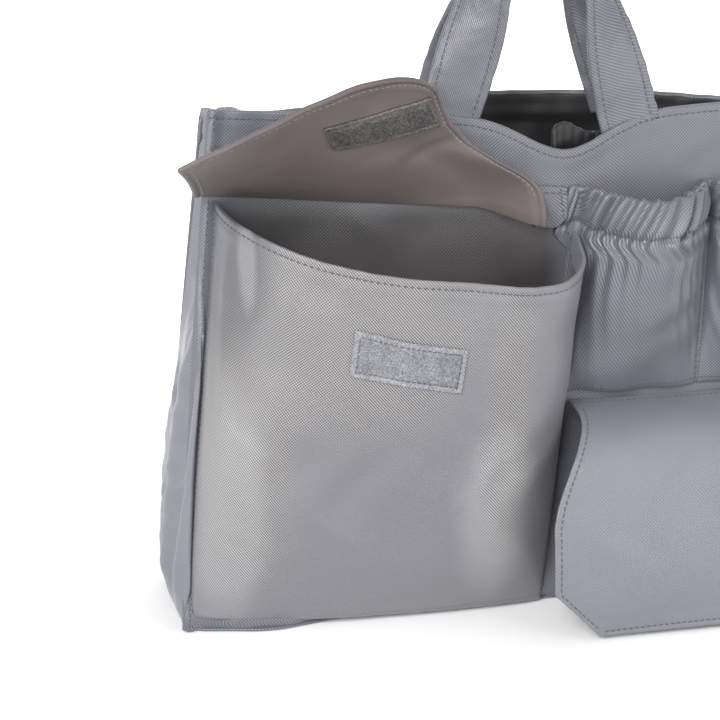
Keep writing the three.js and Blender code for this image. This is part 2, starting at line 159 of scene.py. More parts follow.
# Flap over the large pocket
FLAP_LEFT_HEIGHT = 207
FLAP_RIGHT_HEIGHT = 197
FLAP_LEFT_INSET = 6
FLAP_RIGHT = 6
FLAP_LENGTH = 88
FLAP_FOLD_AT = 46
FLAP_SOFTNESS = 18
FLAP_FLARE = 17.5
FLAP_SLANT = 63
FLAP_SLANT_POWER = 2.4
FLAP_CORNER_CUT = 18
FLAP_RISE_LEFT = 23
FLAP_RISE_RIGHT = 78
FLAP_DEPTH = 1.65
FLAP_ROOT_SHARE = 0.955
FLAP_DROOP = 6
FLAP_STAND = 10
FLAP_LOOSE = np.array([-10.0, -5.0, 1.0])
FLAP_HOOK_FROM_FOLD = 2.5
FLAP_HOOK_SHARE = 0.74
FLAP_SEEN = (0, 0.3, 1)
FLAP_UNDER_SEEN = (0, -0.3, -1)

# Elastic-topped pocket in two bays
BOTTLE_LEFT_TOP = 15
BOTTLE_LEFT_SLANT = 0.35
BOTTLE_BAY_LEFT = 19
BOTTLE_SIDE_INSET = 6
BOTTLE_CASING = 18
BOTTLE_BOTTOM = 108
BOTTLE_TOP = 206
BOTTLE_SWELL = 28
BOTTLE_DIP = 4
BOTTLE_FOOT_ROW = 2.2
BOTTLE_BINDING_ROW = 6.2

# Gusseted pocket and its flap
LOWER_LEFT = 25
LOWER_SIDE_INSET = 8
LOWER_BOTTOM = 9
LOWER_RIM = 70
LOWER_DEPTH = 34
LOWER_CROWN = 4
LOWER_CORNER = 12
LOWER_HINGE = 102
LOWER_FROM_POCKET = 5
LOWER_FLAP_SIDE_INSET = 5
LOWER_FLARE = 22
LOWER_REACH = 49
LOWER_FLAP_BOTTOM = 3
LOWER_CHAMFER = 22
LOWER_TAPE_HEIGHT = 24
LOWER_FLAP_DEPTH = 1.25
LOWER_SEAM_ROW = 4

# Slip pocket inside the front wall
INNER_LEFT = 6
INNER_SIDE_INSET = 34
INNER_BOTTOM = 130
INNER_SWELL = 12
INNER_FROM_WALL = 4.9

# Handles
HANDLE_SPREAD = 84
HANDLE_LEAN = math.radians(16)
HANDLE_BEND = 27
HANDLE_TWIST = math.radians(80)
BACK_HANDLE_SHIFT = 14
STRAP_WIDTH = 26
STRAP_THICK = 2.6
STRAP_FOOT = 7
STRAP_LIFT = 0.9
STRAP_FROM_WALL = 1.4

# Camera at the photograph's place, and lights: place and aim in metres, side in metres, power in watts
CAMERA_AT = (-266.6, -910.4, 380.8)
CAMERA_YAW = 11.78
CAMERA_PITCH = 15.77
SENSOR = 36
FOCAL_PIXELS = 2000
FRAME_PIXELS = 720
WORLD_STRENGTH = 0.4
FLOOR_HALF = 6000
LIGHTS = {
    "key": ((-1.0, -1.5, 1.15), (0, 0, 0.12), 0.9, 42),
    "fill": ((1.2, -1.3, 0.7), (0, 0, 0.12), 1.4, 12),
    "back_fill": ((0.6, 1.7, 0.8), (0, 0, 0.1), 1.4, 14),
}


# Curves of the outline

def lerp(a, b, share):
    return a + (b - a) * share


def smooth(value, low, high):
    share = np.clip((value - low) / (high - low), 0, 1)
    return share * share * (3 - 2 * share)


def metres(sizes):
    return [size * MM for size in sizes]


def fade(value, low, high):
    return 1 - smooth(value, low, high)


def plateau(value, rise, top, edge, end):
    return smooth(value, rise, top) * fade(value, edge, end)


def hump(value, at, wide=0.7):
    return np.exp(-(((value - at) / wide) ** 2))


def rounded(radius, into):
    """How far an arc falls back, at a distance into its corner."""
    into = np.clip(into, 0, radius)
    return radius - np.sqrt(radius ** 2 - into ** 2)


def half_width(z):
    return HALF_BASE - TOP_TAPER * (np.maximum(z, 0) / WALL_HEIGHT) ** TAPER_POWER


def ridge_share(x, ridge):
    reach = math.hypot(HALF_BASE, RIDGE_ROUND) - RIDGE_ROUND
    return 1 - (np.hypot(x - ridge, RIDGE_ROUND) - RIDGE_ROUND) / reach


def front_face(x, z):
    share = ridge_share(x, RIDGE_X)
    return lerp(-BASE_DEPTH / 2 + WAIST * share, -END_RIM_FRONT - FRONT_BOW * share, z / WALL_HEIGHT)


def back_face(x, z):
    share = ridge_share(x, 0)
    return lerp(BASE_DEPTH / 2 - WAIST * share, END_RIM_BACK + BACK_BOW * share, z / WALL_HEIGHT)


def back_rim(x):
    return WALL_HEIGHT - RIM_SAG * (1 - (x / HALF_BASE) ** 2)


def front_rim(x):
    return back_rim(x) - RIM_DIP * hump(x, RIDGE_X, RIM_DIP_REACH)


def soft_front_rim(x):
    return front_rim(x) - SOFT_DIP * hump(x, SOFT_DIP_AT, SOFT_DIP_REACH)


def soft_back_rim(x):
    return back_rim(x) - BACK_DROP * smooth(np.abs(x), *BACK_DROP_REACH)


def end_bow(z):
    share = z / WALL_HEIGHT
    return END_BULGE * plateau(share, -0.08, 0.14, 0.3, 0.7) - END_FOLD * smooth(share, 0.35, 1)


def foot_bulge(x, z):
    """How far the soft front stands out along its foot, beside the left corner."""
    return FOOT_BULGE * hump(x, FOOT_BULGE_AT, FOOT_BULGE_REACH) * fade(z, *FOOT_BULGE_HEIGHT)


# Grids of points that become cloth

def unit_grid(columns, rows):
    return np.meshgrid(np.linspace(0, 1, columns + 1), np.linspace(0, 1, rows + 1))


def stack(x, y, z):
    return np.stack(np.broadcast_arrays(x, y, z), axis=-1).astype(float)


def xyz(points):
    return points[..., 0], points[..., 1], points[..., 2]


def unit(vectors):
    return vectors / (np.linalg.norm(vectors, axis=-1, keepdims=True) + 1e-12)


def run_along(points):
    """Distance along a line of points, from its first."""
    return np.concatenate([[0], np.cumsum(np.linalg.norm(np.diff(points, axis=0), axis=1))])


def ripples(x, y, seed, count, waves, angles=(0, 180)):
    """Uneven cloth, about one high: waves of mixed length and direction, bent by each other."""
    rng = np.random.default_rng(seed)
    bend = waves[1] * 0.2
    x = x + bend * np.sin(y / waves[1] * 4 + rng.uniform(0, 6))
    y = y + bend * np.sin(x / waves[1] * 4 + rng.uniform(0, 6))
    total = np.zeros(np.shape(x))
    for _ in range(count):
        length = rng.uniform(*waves)
        angle = math.radians(rng.uniform(*angles))
        phase = rng.uniform(0, 2 * math.pi)
        total += np.sin((x * math.cos(angle) + y * math.sin(angle)) * 2 * math.pi / length + phase)
    return total / math.sqrt(count)


class Cloth:
    """One face of a sheet: a grid of points, with normals on the side that it is seen from."""

    def __init__(self, points, seen_from):
        self.points = points
        self.seen_from = np.array(seen_from, float)
        self.settle()

    def settle(self):
        normals = unit(np.cross(np.gradient(self.points, axis=1), np.gradient(self.points, axis=0)))
        self.flipped = bool((normals @ self.seen_from).sum() < 0)
        self.normals = -normals if self.flipped else normals

    def at(self, lift):
        return self.points + self.normals * np.asarray(lift)[..., None]

    def raise_by(self, height):
        self.points = self.at(height)
        self.settle()

    def run(self, axis):
        steps = np.linalg.norm(np.diff(self.points, axis=axis), axis=2)
        first = np.zeros_like(steps.take([0], axis))
        return np.concatenate([first, np.cumsum(steps, axis=axis)], axis=axis)

    def from_side(self, side):
        axis = 1 if side in ("left", "right") else 0
        run = self.run(axis)
        return run.take([-1], axis) - run if side in ("top", "right") else run

    def from_sides(self, *sides):
        return np.minimum.reduce([self.from_side(side) for side in sides])

    def flat_size(self):
        return float(self.run(1)[:, -1].max()), float(self.run(0)[-1].max())

    def area(self):
        across = np.diff(self.points, axis=1)[:-1]
        up = np.diff(self.points, axis=0)[:, :-1]
        return float(np.linalg.norm(np.cross(across, up), axis=2).sum())

    def line(self, side, distance, start=0.0, stop=1.0):
        """Points and normals of a line that keeps a distance from one side."""
        grids = [self.from_side(side), self.points, self.normals]
        if side in ("left", "right"):
            grids = [grid.swapaxes(0, 1) for grid in grids]
        if side in ("top", "right"):
            grids = [grid[::-1] for grid in grids]
        away = grids[0]
        count = away.shape[1]
        chosen = range(int(start * (count - 1)), int(stop * (count - 1)) + 1)
        out = np.array([[[np.interp(distance, away[:, k], grid[:, k, axis]) for axis in range(3)]
                         for k in chosen] for grid in grids[1:]])
        return out[0], unit(out[1])

    def spot(self, row, column, lift=0.0):
        """Points at fractions of the rows and columns, lifted off the cloth."""
        row = np.clip(row, 0, self.points.shape[0] - 1.001)
        column = np.clip(column, 0, self.points.shape[1] - 1.001)
        i, j = row.astype(int), column.astype(int)
        a, b = (row - i)[..., None], (column - j)[..., None]
        face = self.at(lift)
        return lerp(lerp(face[i, j], face[i, j + 1], b), lerp(face[i + 1, j], face[i + 1, j + 1], b), a)


# Meshes

def add_mesh(name, vertices, faces, looks, uv=None, look_of=None):
    mesh = bpy.data.meshes.new(name)
    mesh.from_pydata((np.asarray(vertices) * MM).tolist(), [], np.asarray(faces).tolist())
    mesh.shade_smooth()
    if uv is not None:
        layer = mesh.uv_layers.new(name="weave")
        layer.data.foreach_set("uv", (uv[np.asarray(faces).ravel()] * MM).ravel())
    for look in looks:
        mesh.materials.append(look)
    if look_of is not None:
        mesh.polygons.foreach_set("material_index", look_of)
    piece = bpy.data.objects.new(name, mesh)
    bpy.context.scene.collection.objects.link(piece)
    return piece


def tube_faces(rings, sides):
    faces = []
    for first in range(0, (rings - 1) * sides, sides):
        for k in range(sides):
            a, b = first + k, first + (k + 1) % sides
            faces.append([a, b, b + sides, a + sides])
    return faces


def add_copies(name, copies, faces, look):
    """One mesh of many small copies, each with the same faces."""
    count, size = copies.shape[:2]
    start = np.arange(count)[:, None, None] * size
    return add_mesh(name, copies.reshape(-1, 3), (np.array(faces)[None] + start).reshape(-1, 4), [look])


def outward_at_border(points):
    """Directions out of a grid at its border."""
    out = np.zeros_like(points)
    for edge, inside in ((np.s_[0, :], np.s_[1, :]), (np.s_[-1, :], np.s_[-2, :]),
                         (np.s_[:, 0], np.s_[:, 1]), (np.s_[:, -1], np.s_[:, -2])):
        out[edge] += unit(points[edge] - points[inside])
    return unit(out)


def sheet(name, cloth, thickness, look, inner_look=None, inner_rows=None):
    """A closed sheet of cloth under a face, with rounded edges; its first inner rows may look different."""
    rows, columns = cloth.points.shape[:2]
    count = rows * columns
    outer = cloth.points.reshape(-1, 3)
    inner = cloth.at(-np.broadcast_to(thickness, (rows, columns))).reshape(-1, 3)
    index = np.arange(count).reshape(rows, columns)
    grid = np.stack([index[:-1, :-1], index[:-1, 1:], index[1:, 1:], index[1:, :-1]], axis=-1).reshape(-1, 4)
    border = np.concatenate([index[0, :-1], index[:-1, -1], index[-1, :0:-1], index[:0:-1, 0]])
    outward = outward_at_border(cloth.points).reshape(-1, 3)[border]
    middle = (outer[border] + inner[border]) / 2
    half = (outer[border] - inner[border]) / 2
    radius = np.linalg.norm(half, axis=1, keepdims=True)
    across, up = cloth.run(1), cloth.run(0)
    uv = np.stack([across - across[:, [columns // 2]], up - up[[rows // 2]]], axis=-1)
    over_edge = outward_at_border(uv).reshape(-1, 2)[border] * radius * math.pi / RIM_STEPS
    uv = uv.reshape(-1, 2)
    rings = [border]
    rim_points = []
    rim_uv = []
    for step in range(1, RIM_STEPS):
        turn = math.pi * step / RIM_STEPS
        rings.append(2 * count + (step - 1) * len(border) + np.arange(len(border)))
        rim_points.append(middle + half * math.cos(turn) + outward * radius * math.sin(turn))
        rim_uv.append(uv[border] + over_edge * step)
    rings.append(border + count)
    rim = [np.stack([near, far, np.roll(far, -1), np.roll(near, -1)], axis=-1)
           for near, far in zip(rings, rings[1:])]
    faces = np.concatenate([grid, grid[:, ::-1] + count, *rim])
    if cloth.flipped:
        faces = faces[:, ::-1]
    look_of = np.zeros(len(faces), int)
    looks = [look]
    if inner_look:
        looks.append(inner_look)
        last = len(grid) + inner_rows * (columns - 1) if inner_rows else len(faces)
        look_of[len(grid):last] = 1
    vertices = np.concatenate([outer, inner, *rim_points])
    return add_mesh(name, vertices, faces, looks, np.concatenate([uv, uv, *rim_uv]), look_of)


class Thread:
    """Stitches sewn along lines, kept until they become one piece."""

    PROFILE = (-1, -0.8, -0.35, 0.35, 0.8, 1)
    SWELL = (0.45, 0.85, 1, 1, 0.85, 0.45)

    def __init__(self, seed):
        self.stitches = []
        self.rng = np.random.default_rng(seed)

    def rows(self, cloth, distance, *sides, start=0.0, stop=1.0, stitch=()):
        for side in sides:
            self.sew(cloth.line(side, distance, start, stop), *stitch)
        return self

    def sew(self, line, pitch=STITCH_PITCH, length=STITCH_LENGTH, radius=STITCH_RADIUS):
        points, normals = line
        run = run_along(points)
        places = np.arange(pitch / 2, run[-1], pitch)
        if not len(places):
            return

        def at(where, data):
            return np.stack([np.interp(where, run, data[:, k]) for k in range(3)], axis=1)

        centre = at(places, points)
        up = at(places, normals)
        along = unit(at(places + 0.6, points) - at(places - 0.6, points))
        side = unit(np.cross(up, along))
        along = along + side * self.rng.normal(0, 0.07, len(places))[:, None]
        turns = np.arange(STITCH_SIDES) * 2 * math.pi / STITCH_SIDES
        rings = []
        for place, swell in zip(self.PROFILE, self.SWELL):
            lift = radius * (0.75 * (1 - place * place) - 0.3)
            ring = (centre + along * place * length / 2)[:, None]
            ring = ring + side[:, None] * (np.cos(turns) * radius * swell)[None, :, None]
            rings.append(ring + up[:, None] * (np.sin(turns) * radius * swell + lift)[None, :, None])
        self.stitches.append(np.concatenate(rings, axis=1))

    def piece(self, name, look):
        faces = tube_faces(len(self.PROFILE), STITCH_SIDES)
        last = (len(self.PROFILE) - 1) * STITCH_SIDES
        faces += [[3, 2, 1, 0], [5, 4, 3, 0]]
        faces += [[last, last + 1, last + 2, last + 3], [last, last + 3, last + 4, last + 5]]
        return add_copies(name, np.concatenate(self.stitches), faces, look)


# Materials

class Shader:
    """Nodes of a material or a world, built one at a time."""

    def __init__(self, owner):
        owner.use_nodes = True
        self.owner = owner
        self.tree = owner.node_tree

    def put(self, socket, value):
        if isinstance(value, bpy.types.NodeSocket):
            self.tree.links.new(value, socket)
        elif value is not None:
            socket.default_value = value

    def node(self, kind, *values, out=0, named=None, **settings):
        made = self.tree.nodes.new("ShaderNode" + kind)
        for key, value in settings.items():
            setattr(made, key, value)
        for place, value in [*enumerate(values), *(named or {}).items()]:
            self.put(made.inputs[place], value)
        return made.outputs if out is None else made.outputs[out]

    def math(self, operation, *values):
        return self.node("Math", *values, operation=operation)

    def vector(self, operation, *values, out=0):
        return self.node("VectorMath", *values, operation=operation, out=out)

    def noise(self, where, scale, detail=2.0, roughness=0.5):
        named = {"Vector": where, "Scale": scale, "Detail": detail, "Roughness": roughness}
        return self.node("TexNoise", named=named, out="Fac")

    def band(self, value, low, high):
        named = {"Value": value, "From Min": low, "From Max": high}
        return self.node("MapRange", named=named, out="Result", interpolation_type="SMOOTHSTEP")

    def fade(self, value, low, high):
        return self.math("SUBTRACT", 1, self.band(value, low, high))

    def scale_to(self, value, low, high):
        return self.node("MapRange", named={"Value": value, "To Min": low, "To Max": high}, out="Result")

    def mix(self, share, first, second):
        made = self.tree.nodes.new("ShaderNodeMix")
        made.data_type = "RGBA"
        colours = [socket for socket in made.inputs if socket.type == "RGBA"]
        for socket, value in zip([made.inputs[0], *colours], (share, first, second)):
            self.put(socket, value)
        return [socket for socket in made.outputs if socket.type == "RGBA"][0]

    def lobe(self, where, centre, reach, cloud):
        """One inside a soft, uneven oval in the plane of the front, and nothing outside it."""
        from_centre = self.vector("SUBTRACT", where, (centre[0] * MM, 0, centre[1] * MM))
        oval = self.vector("MULTIPLY", from_centre, (1 / (reach[0] * MM), 0, 1 / (reach[1] * MM)))
        distance = self.vector("LENGTH", oval, out=1)
        uneven = self.math("MULTIPLY_ADD", self.math("SUBTRACT", cloud, 0.5), 1.1, distance)
        return self.fade(uneven, 0.5, 1.3)

    def in_pocket(self, where):
        """One on the part of the front wall that the large pocket covers, and nothing elsewhere."""
        x, _, z = self.node("SeparateXYZ", where, out=None)
        seam = self.math("MULTIPLY_ADD", z, -TOP_TAPER / WALL_HEIGHT, x)
        edges = [self.fade(z, *metres(COVERED_TOP)), self.fade(x, *metres(COVERED_RIGHT)),
                 self.band(seam, *metres(COVERED_LEFT)), self.band(z, *metres(COVERED_FOOT))]
        inside = edges[0]
        for edge in edges[1:]:
            inside = self.math("MULTIPLY", inside, edge)
        return inside

    def bump(self, height, distance, strength=1.0, below=None):
        named = {"Strength": strength, "Distance": distance, "Height": height, "Normal": below}
        return self.node("Bump", named=named, out="Normal")

    def seen_or_mirrored(self):
        """One for rays from the camera, or off gloss and glass, and nothing for light."""
        rays = self.node("LightPath", out=None)
        mirrored = self.math("MAXIMUM", rays["Is Glossy Ray"], rays["Is Transmission Ray"])
        return self.math("MAXIMUM", rays["Is Camera Ray"], mirrored)

    def finish(self, **sockets):
        inputs = self.tree.nodes["Principled BSDF"].inputs
        for name, value in sockets.items():
            self.put(inputs[name.replace("_", " ").title().replace("Ior", "IOR")], value)
        return self.owner


def start_look(name):
    """A new material, with the place of a point in space and on its weave."""
    s = Shader(bpy.data.materials.new(name))
    return s, s.node("TexCoord", out=3), s.node("UVMap", uv_map="weave")


def grey(red, green, blue, tone=1.0):
    """A colour as it is seen on a screen, from 0 to 255, as linear colour, darkened by a tone."""
    shares = np.array([red, green, blue]) / 255
    linear = np.where(shares < 10 / 255, shares / 12.92, ((shares + 0.055) / 1.055) ** 2.4)
    return (*(linear * tone).tolist(), 1)


def twill_look(name, tone, ribs, pitch, lean=(0.4, 0.6), lobes=(), painted_shade=None, painted_highlights=(), pocket_shade=False):
    """Satin cloth with a fine diagonal weave, which shows in its lobes, or in patches all over; where it
    shows, the colour is also lighter, a painted sheen.
    """
    s, place, weave = start_look(name)
    wander = s.math("MULTIPLY", s.noise(weave, 70, 1), 1.6)
    u, v, _ = s.node("SeparateXYZ", weave, out=None)
    across = s.math("MULTIPLY_ADD", u, math.pi / (pitch * MM), wander)
    up = s.math("MULTIPLY", v, math.pi / (pitch * MM))
    rising = s.math("COSINE", s.math("SUBTRACT", across, up))
    falling = s.math("COSINE", s.math("ADD", across, up))
    lean = s.scale_to(s.band(s.noise(place, 8, 1), 0.4, 0.6), *lean)
    rising = s.math("MULTIPLY", rising, lean)
    rib = s.math("ADD", rising, s.math("MULTIPLY", falling, s.math("SUBTRACT", 1, lean)))
    cloud = s.noise(place, 17, 3, 0.5)
    weave_and_sheen = 0.0 if lobes else s.scale_to(s.band(cloud, 0.38, 0.62), *ribs)
    for centre, reach in lobes:
        weave_and_sheen = s.math("MAXIMUM", weave_and_sheen, s.lobe(place, centre, reach, cloud))
    fuzz = s.noise(weave, 2600, 2)
    shade = s.math("MULTIPLY_ADD", rib, s.scale_to(weave_and_sheen, 0.03, 0.72), 0.5)
    shade = s.math("MULTIPLY_ADD", s.math("SUBTRACT", fuzz, 0.5), 0.16, shade)
    # Where the weave shows, the colour moves from the darker, bluer satin grey to the lighter ribbed grey:
    # weave texture, with a painted sheen
    satin = s.mix(shade, grey(70, 70, 75, tone), grey(168, 168, 175, tone))
    ribbed = s.mix(shade, grey(65, 63, 65, tone), grey(183, 180, 181, tone))
    colour = s.mix(weave_and_sheen, satin, ribbed)
    # Painted shade: a darker grey mixed into the colour over one lobe
    if painted_shade:
        colour = s.mix(s.math("MULTIPLY", s.lobe(place, *painted_shade, cloud), 0.5), colour, grey(60, 63, 68))
    # Painted highlights: a lighter grey mixed into the colour over each of these lobes
    for centre, reach, share in painted_highlights:
        painted_highlight = s.math("MULTIPLY", s.lobe(place, centre, reach, cloud), share)
        colour = s.mix(painted_highlight, colour, s.mix(shade, grey(120, 120, 124), grey(232, 232, 235)))
    # Painted shade: the wall under the large pocket is mixed towards a dark brown grey
    if pocket_shade:
        colour = s.mix(s.math("MULTIPLY", s.in_pocket(place), 0.85), colour, grey(48, 43, 42))
    return s.finish(
        base_color=colour,
        roughness=s.scale_to(weave_and_sheen, 0.31, 0.42),
        specular_ior_level=0.6,
        sheen_weight=0.15,
        sheen_roughness=0.45,
        sheen_tint=grey(225, 227, 232),
        normal=s.bump(fuzz, 0.05 * MM, 0.6, s.bump(rib, 0.12 * MM, 0.5)),
    )


def smooth_look(name, low, high):
    """A close, smooth weave: the lining and the coated underside of the flaps."""
    s, place, weave = start_look(name)
    patch = s.noise(place, 16, 3)
    fine = s.noise(weave, 1500, 2)
    mixed = s.math("MULTIPLY_ADD", s.math("SUBTRACT", fine, 0.5), 0.35, patch)
    crease = s.bump(s.noise(place, 60, 4), 0.5 * MM, 0.25)
    return s.finish(
        base_color=s.mix(s.band(mixed, 0.25, 0.75), low, high),
        roughness=s.scale_to(patch, 0.44, 0.56),
        specular_ior_level=0.4,
        sheen_weight=0.1,
        normal=s.bump(fine, 0.04 * MM, 0.5, crease),
    )


def fuzzy_look(name, low, high, roughness, scale, sheen):
    """Tape: speckled fibres, loops or hooks."""
    s, place, _ = start_look(name)
    speck = s.noise(place, scale, 3, 0.7)
    patch = s.noise(place, scale / 12, 2)
    mixed = s.math("MULTIPLY_ADD", s.math("SUBTRACT", patch, 0.5), 0.2, speck)
    return s.finish(
        base_color=s.mix(s.band(mixed, 0.3, 0.7), low, high),
        roughness=roughness,
        sheen_weight=sheen,
        normal=s.bump(speck, 0.3 * MM, 0.6),
    )


def thread_look(name, low, high):
    s, place, _ = start_look(name)
    twist = s.noise(place, 1800, 2)
    return s.finish(base_color=s.mix(twist, low, high), roughness=0.5, sheen_weight=0.15,
                    normal=s.bump(twist, 0.1 * MM, 0.5))


# Ovals on the pocket, by centre and reach: where its weave shows and its colour is lighter as a painted
# sheen, where a painted shade darkens it, and where painted highlights lighten it
POCKET_LOBES = [((-98, 152), (58, 56)), ((-146, 92), (29, 80)), ((-23, 100), (15, 78))]
POCKET_PAINTED_SHADE = ((-150, 184), (20, 46))
POCKET_PAINTED_HIGHLIGHTS = [((-149, 62), (17, 60), 0.2), ((-25, 58), (20, 46), 0.26), ((-140, 184), (3.5, 22), 0.25)]

# All twills are one cloth: satin_twill, wall_twill and strap_twill take a darker tone as painted shade, and
# lit_twill and pocket_twill a lighter one as painted light
TWILL = twill_look("satin_twill", (0.5, 0.53, 0.575), (0.35, 0.7), 0.8)
WALL_TWILL = twill_look("wall_twill", (0.5, 0.53, 0.575), (0.4, 0.8), 0.8, pocket_shade=True)
STRAP_TWILL = twill_look("strap_twill", (0.51, 0.535, 0.565), (0.25, 0.5), 0.8, (0.05, 0.15))
LIT_TWILL = twill_look("lit_twill", (0.765, 0.795, 0.825), (0.0, 0.2), 0.8)
POCKET_TWILL = twill_look("pocket_twill", 0.75, (0, 0), 0.72, (0.28, 0.72), POCKET_LOBES, POCKET_PAINTED_SHADE,
                          POCKET_PAINTED_HIGHLIGHTS)
LINING = smooth_look("dark_lining", grey(24, 22, 24), grey(35, 33, 36))
COATED = smooth_look("coated_underside", grey(87, 78, 77), grey(107, 97, 96))
LOOPS = fuzzy_look("loop_tape", grey(98, 99, 103), grey(166, 167, 172), 0.9, 1500, 0.3)
HOOKS = fuzzy_look("hook_tape", grey(44, 42, 42), grey(118, 114, 113), 0.35, 1000, 0.0)
BOARD = fuzzy_look("stiffener_board", grey(44, 45, 48), grey(66, 67, 70), 0.7, 300, 0.0)
THREAD = thread_look("sewing_thread", grey(52, 52, 57), grey(100, 101, 107))
PALE_THREAD = thread_look("pale_thread", grey(92, 90, 92), grey(140, 138, 140))


# Pieces

def on_shell(piece):
    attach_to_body(piece, SHELL)


def dressed(name, cloth, thickness, look, nodes, attach=on_shell, hem=0.0,
            inner_look=None, inner_rows=None):
    """A sheet on its body, in its finish, with the CAD nodes it stands for hidden; its flat size, with hems,
    is worked out and not kept.
    """
    piece = sheet(name, cloth, thickness, look, inner_look, inner_rows)
    attach(piece)
    if nodes:
        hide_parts(*nodes)
    width, length = cloth.flat_size()
    length += hem
    area = min(cloth.area() + hem * width, width * length)


def sewn(thread, name, attach=on_shell, look=THREAD):
    piece = thread.piece(name, look)
    attach(piece)


def wall_points(face, rim, inward):
    across, up = unit_grid(*WALL_GRID)
    x = (2 * across - 1) * half_width(lerp(WALL_FOOT, WALL_HEIGHT, up))
    z = lerp(WALL_FOOT, rim(x), up)
    y = face(x, z) + inward * rounded(FOOT_ROUND, FOOT_ROUND - z)
    if inward > 0:
        y = y - foot_bulge(x, z)
    return stack(x, y, z)


def make_wall(name, face, rim, inward, seed):
    """A wall panel with a hemmed rim and felled corner seams, and its lining."""
    cloth = Cloth(wall_points(face, rim, inward), (0, -inward, 0))
    x, _, z = xyz(cloth.points)
    side = cloth.from_sides("left", "right")
    top = cloth.from_side("top")
    height = 1.3 * plateau(side, 0, 1.5, 4.4, 5.6) - 0.35 * hump(side, SEAM_ROW)
    height += 0.35 * fade(top, 5, 9) - 0.35 * hump(top, ROW_FROM_EDGE)
    height += 0.22 * np.exp(-top / 9) * ripples(x, z * 0.3, seed, 4, (7, 16), (-20, 20))
    loose = smooth(side, 4, 24) * smooth(z, 4, 40)
    height += 0.7 * loose * ripples(x, z, seed + 1, 5, (45, 110)) - 0.5 * loose
    height += 0.18 * loose * ripples(x, z, seed + 2, 5, (14, 30))
    height += 0.8 * plateau(z, 1, 4, 9, 14) * ripples(x, z * 2, seed + 3, 4, (9, 24))
    cloth.raise_by(height)
    thick = 1.5 + 0.9 * fade(cloth.from_side("top"), WALL_HEM, WALL_HEM + 1)
    look = WALL_TWILL if inward > 0 else TWILL
    dressed(f"{name}_wall", cloth, thick, look, [f"{name}_panel"], hem=WALL_HEM)
    thread = Thread(seed).rows(cloth, ROW_FROM_EDGE, "top").rows(cloth, SEAM_ROW, "left", "right")
    sewn(thread, f"{name}_wall_stitches")
    behind = cloth.at(-(thick + 0.5))
    behind[-1, :, 2] -= 0.9
    lining = Cloth(behind[3:, 3:-3], (0, inward, 0))
    x, _, z = xyz(lining.points)
    free = smooth(lining.from_sides("left", "right"), 2, 25) * smooth(lining.from_side("top"), 3, 25)
    lining.raise_by(0.8 * free * (ripples(x, z, seed + 5, 5, (35, 90)) + 1.2).clip(0))
    dressed(f"{name}_lining_sheet", lining, LINING_THICK, LINING, [f"{name}_lining"])


def end_points(side):
    """An end panel, swollen low down, where it rolls forward over the seam, and folded in at the rim."""
    across, up = unit_grid(*END_GRID)
    z = lerp(WALL_FOOT, END_RIM, up)
    x = half_width(z)
    front = front_face(side * x, z)
    back = back_face(side * x, z)
    y = lerp(front + END_GAP, back - END_GAP, across)
    share = (y - front) / (back - front)
    middle = 4 * share * (1 - share)
    pillow = middle ** lerp(0.55, 1.0, smooth(z, 60, 170))
    tuck = rounded(END_FOOT_ROUND, END_FOOT_ROUND - z) * middle ** 0.4
    low = plateau(z, 2, 26, 110, 195)
    turn = np.clip(across / 0.3, 0, 1)
    roll = END_ROLL * low * np.sin(math.pi * turn ** 0.6) + 3 * low * (1 - turn) ** 3
    over = END_OVER * low * (1 - turn) ** 1.5
    return stack(side * (x + end_bow(z) * pillow - tuck - over), y - roll, z)


def keep_between_walls(points, gap):
    """Moves points back between the front and back wall, except where an end rolls forward low down."""
    x, y, z = xyz(points)
    forward = front_face(x, z) + gap - 9 * fade(z, 120, 200) * (gap < 1)
    points[..., 1] = np.clip(y, forward, back_face(x, z) - gap)


def make_end(name, side, seed):
    """An end panel, creased lengthwise and gathered on the elastic in its rim, and its lining."""
    cloth = Cloth(end_points(side), (side, 0, 0))
    behind = cloth.at(-END_LINING_DEPTH)
    _, y, z = xyz(cloth.points)
    edge = cloth.from_sides("left", "right")
    across = cloth.from_side("left")
    top = cloth.from_side("top")
    free = smooth(edge, 0.5, 12) * smooth(z, 3, 30)
    height = 1.7 * free * ripples(y, z * 0.22, seed, 4, (16, 34), (-12, 12))
    height += 0.6 * free * ripples(y, z, seed + 1, 6, (12, 40))
    gather = 1.1 * np.exp(-np.maximum(top - 9, 0) / 20) * smooth(edge, 0.5, 5)
    height += gather * ripples(across, z * 0.12, seed + 2, 3, (5, 8), (-6, 6))
    height -= 0.5 * hump(top, END_CASING_ROW, 0.9)
    cloth.raise_by(height)
    lift = 1.5 * np.exp(-top / 9) * smooth(edge, 1, 9)
    cloth.points[..., 2] += lift * ripples(across, z * 0, seed + 3, 3, (13, 20), (-4, 4))
    keep_between_walls(cloth.points, 0.6)
    cloth.settle()
    thick = 1.4 + 1.6 * fade(top, END_HEM - 0.8, END_HEM + 0.2)
    nodes = [f"{name}_end_panel", f"{name}_rim_elastic"]
    dressed(f"{name}_end", cloth, thick, LIT_TWILL, nodes, hem=END_HEM)
    sewn(Thread(seed).rows(cloth, END_CASING_ROW, "top"), f"{name}_end_stitches")
    keep_between_walls(behind, 3.4)
    lining = Cloth(behind[5:-2, 9:-9], (-side, 0, 0))
    _, y, z = xyz(lining.points)
    free = smooth(lining.from_sides("left", "right"), 1, 12)
    lining.raise_by(0.6 * free * (ripples(y, z * 0.3, seed + 6, 5, (14, 30)) + 1.2).clip(0))
    nodes = [f"{name}_end_lining"]
    dressed(f"{name}_end_lining_sheet", lining, LINING_THICK, LINING, nodes)


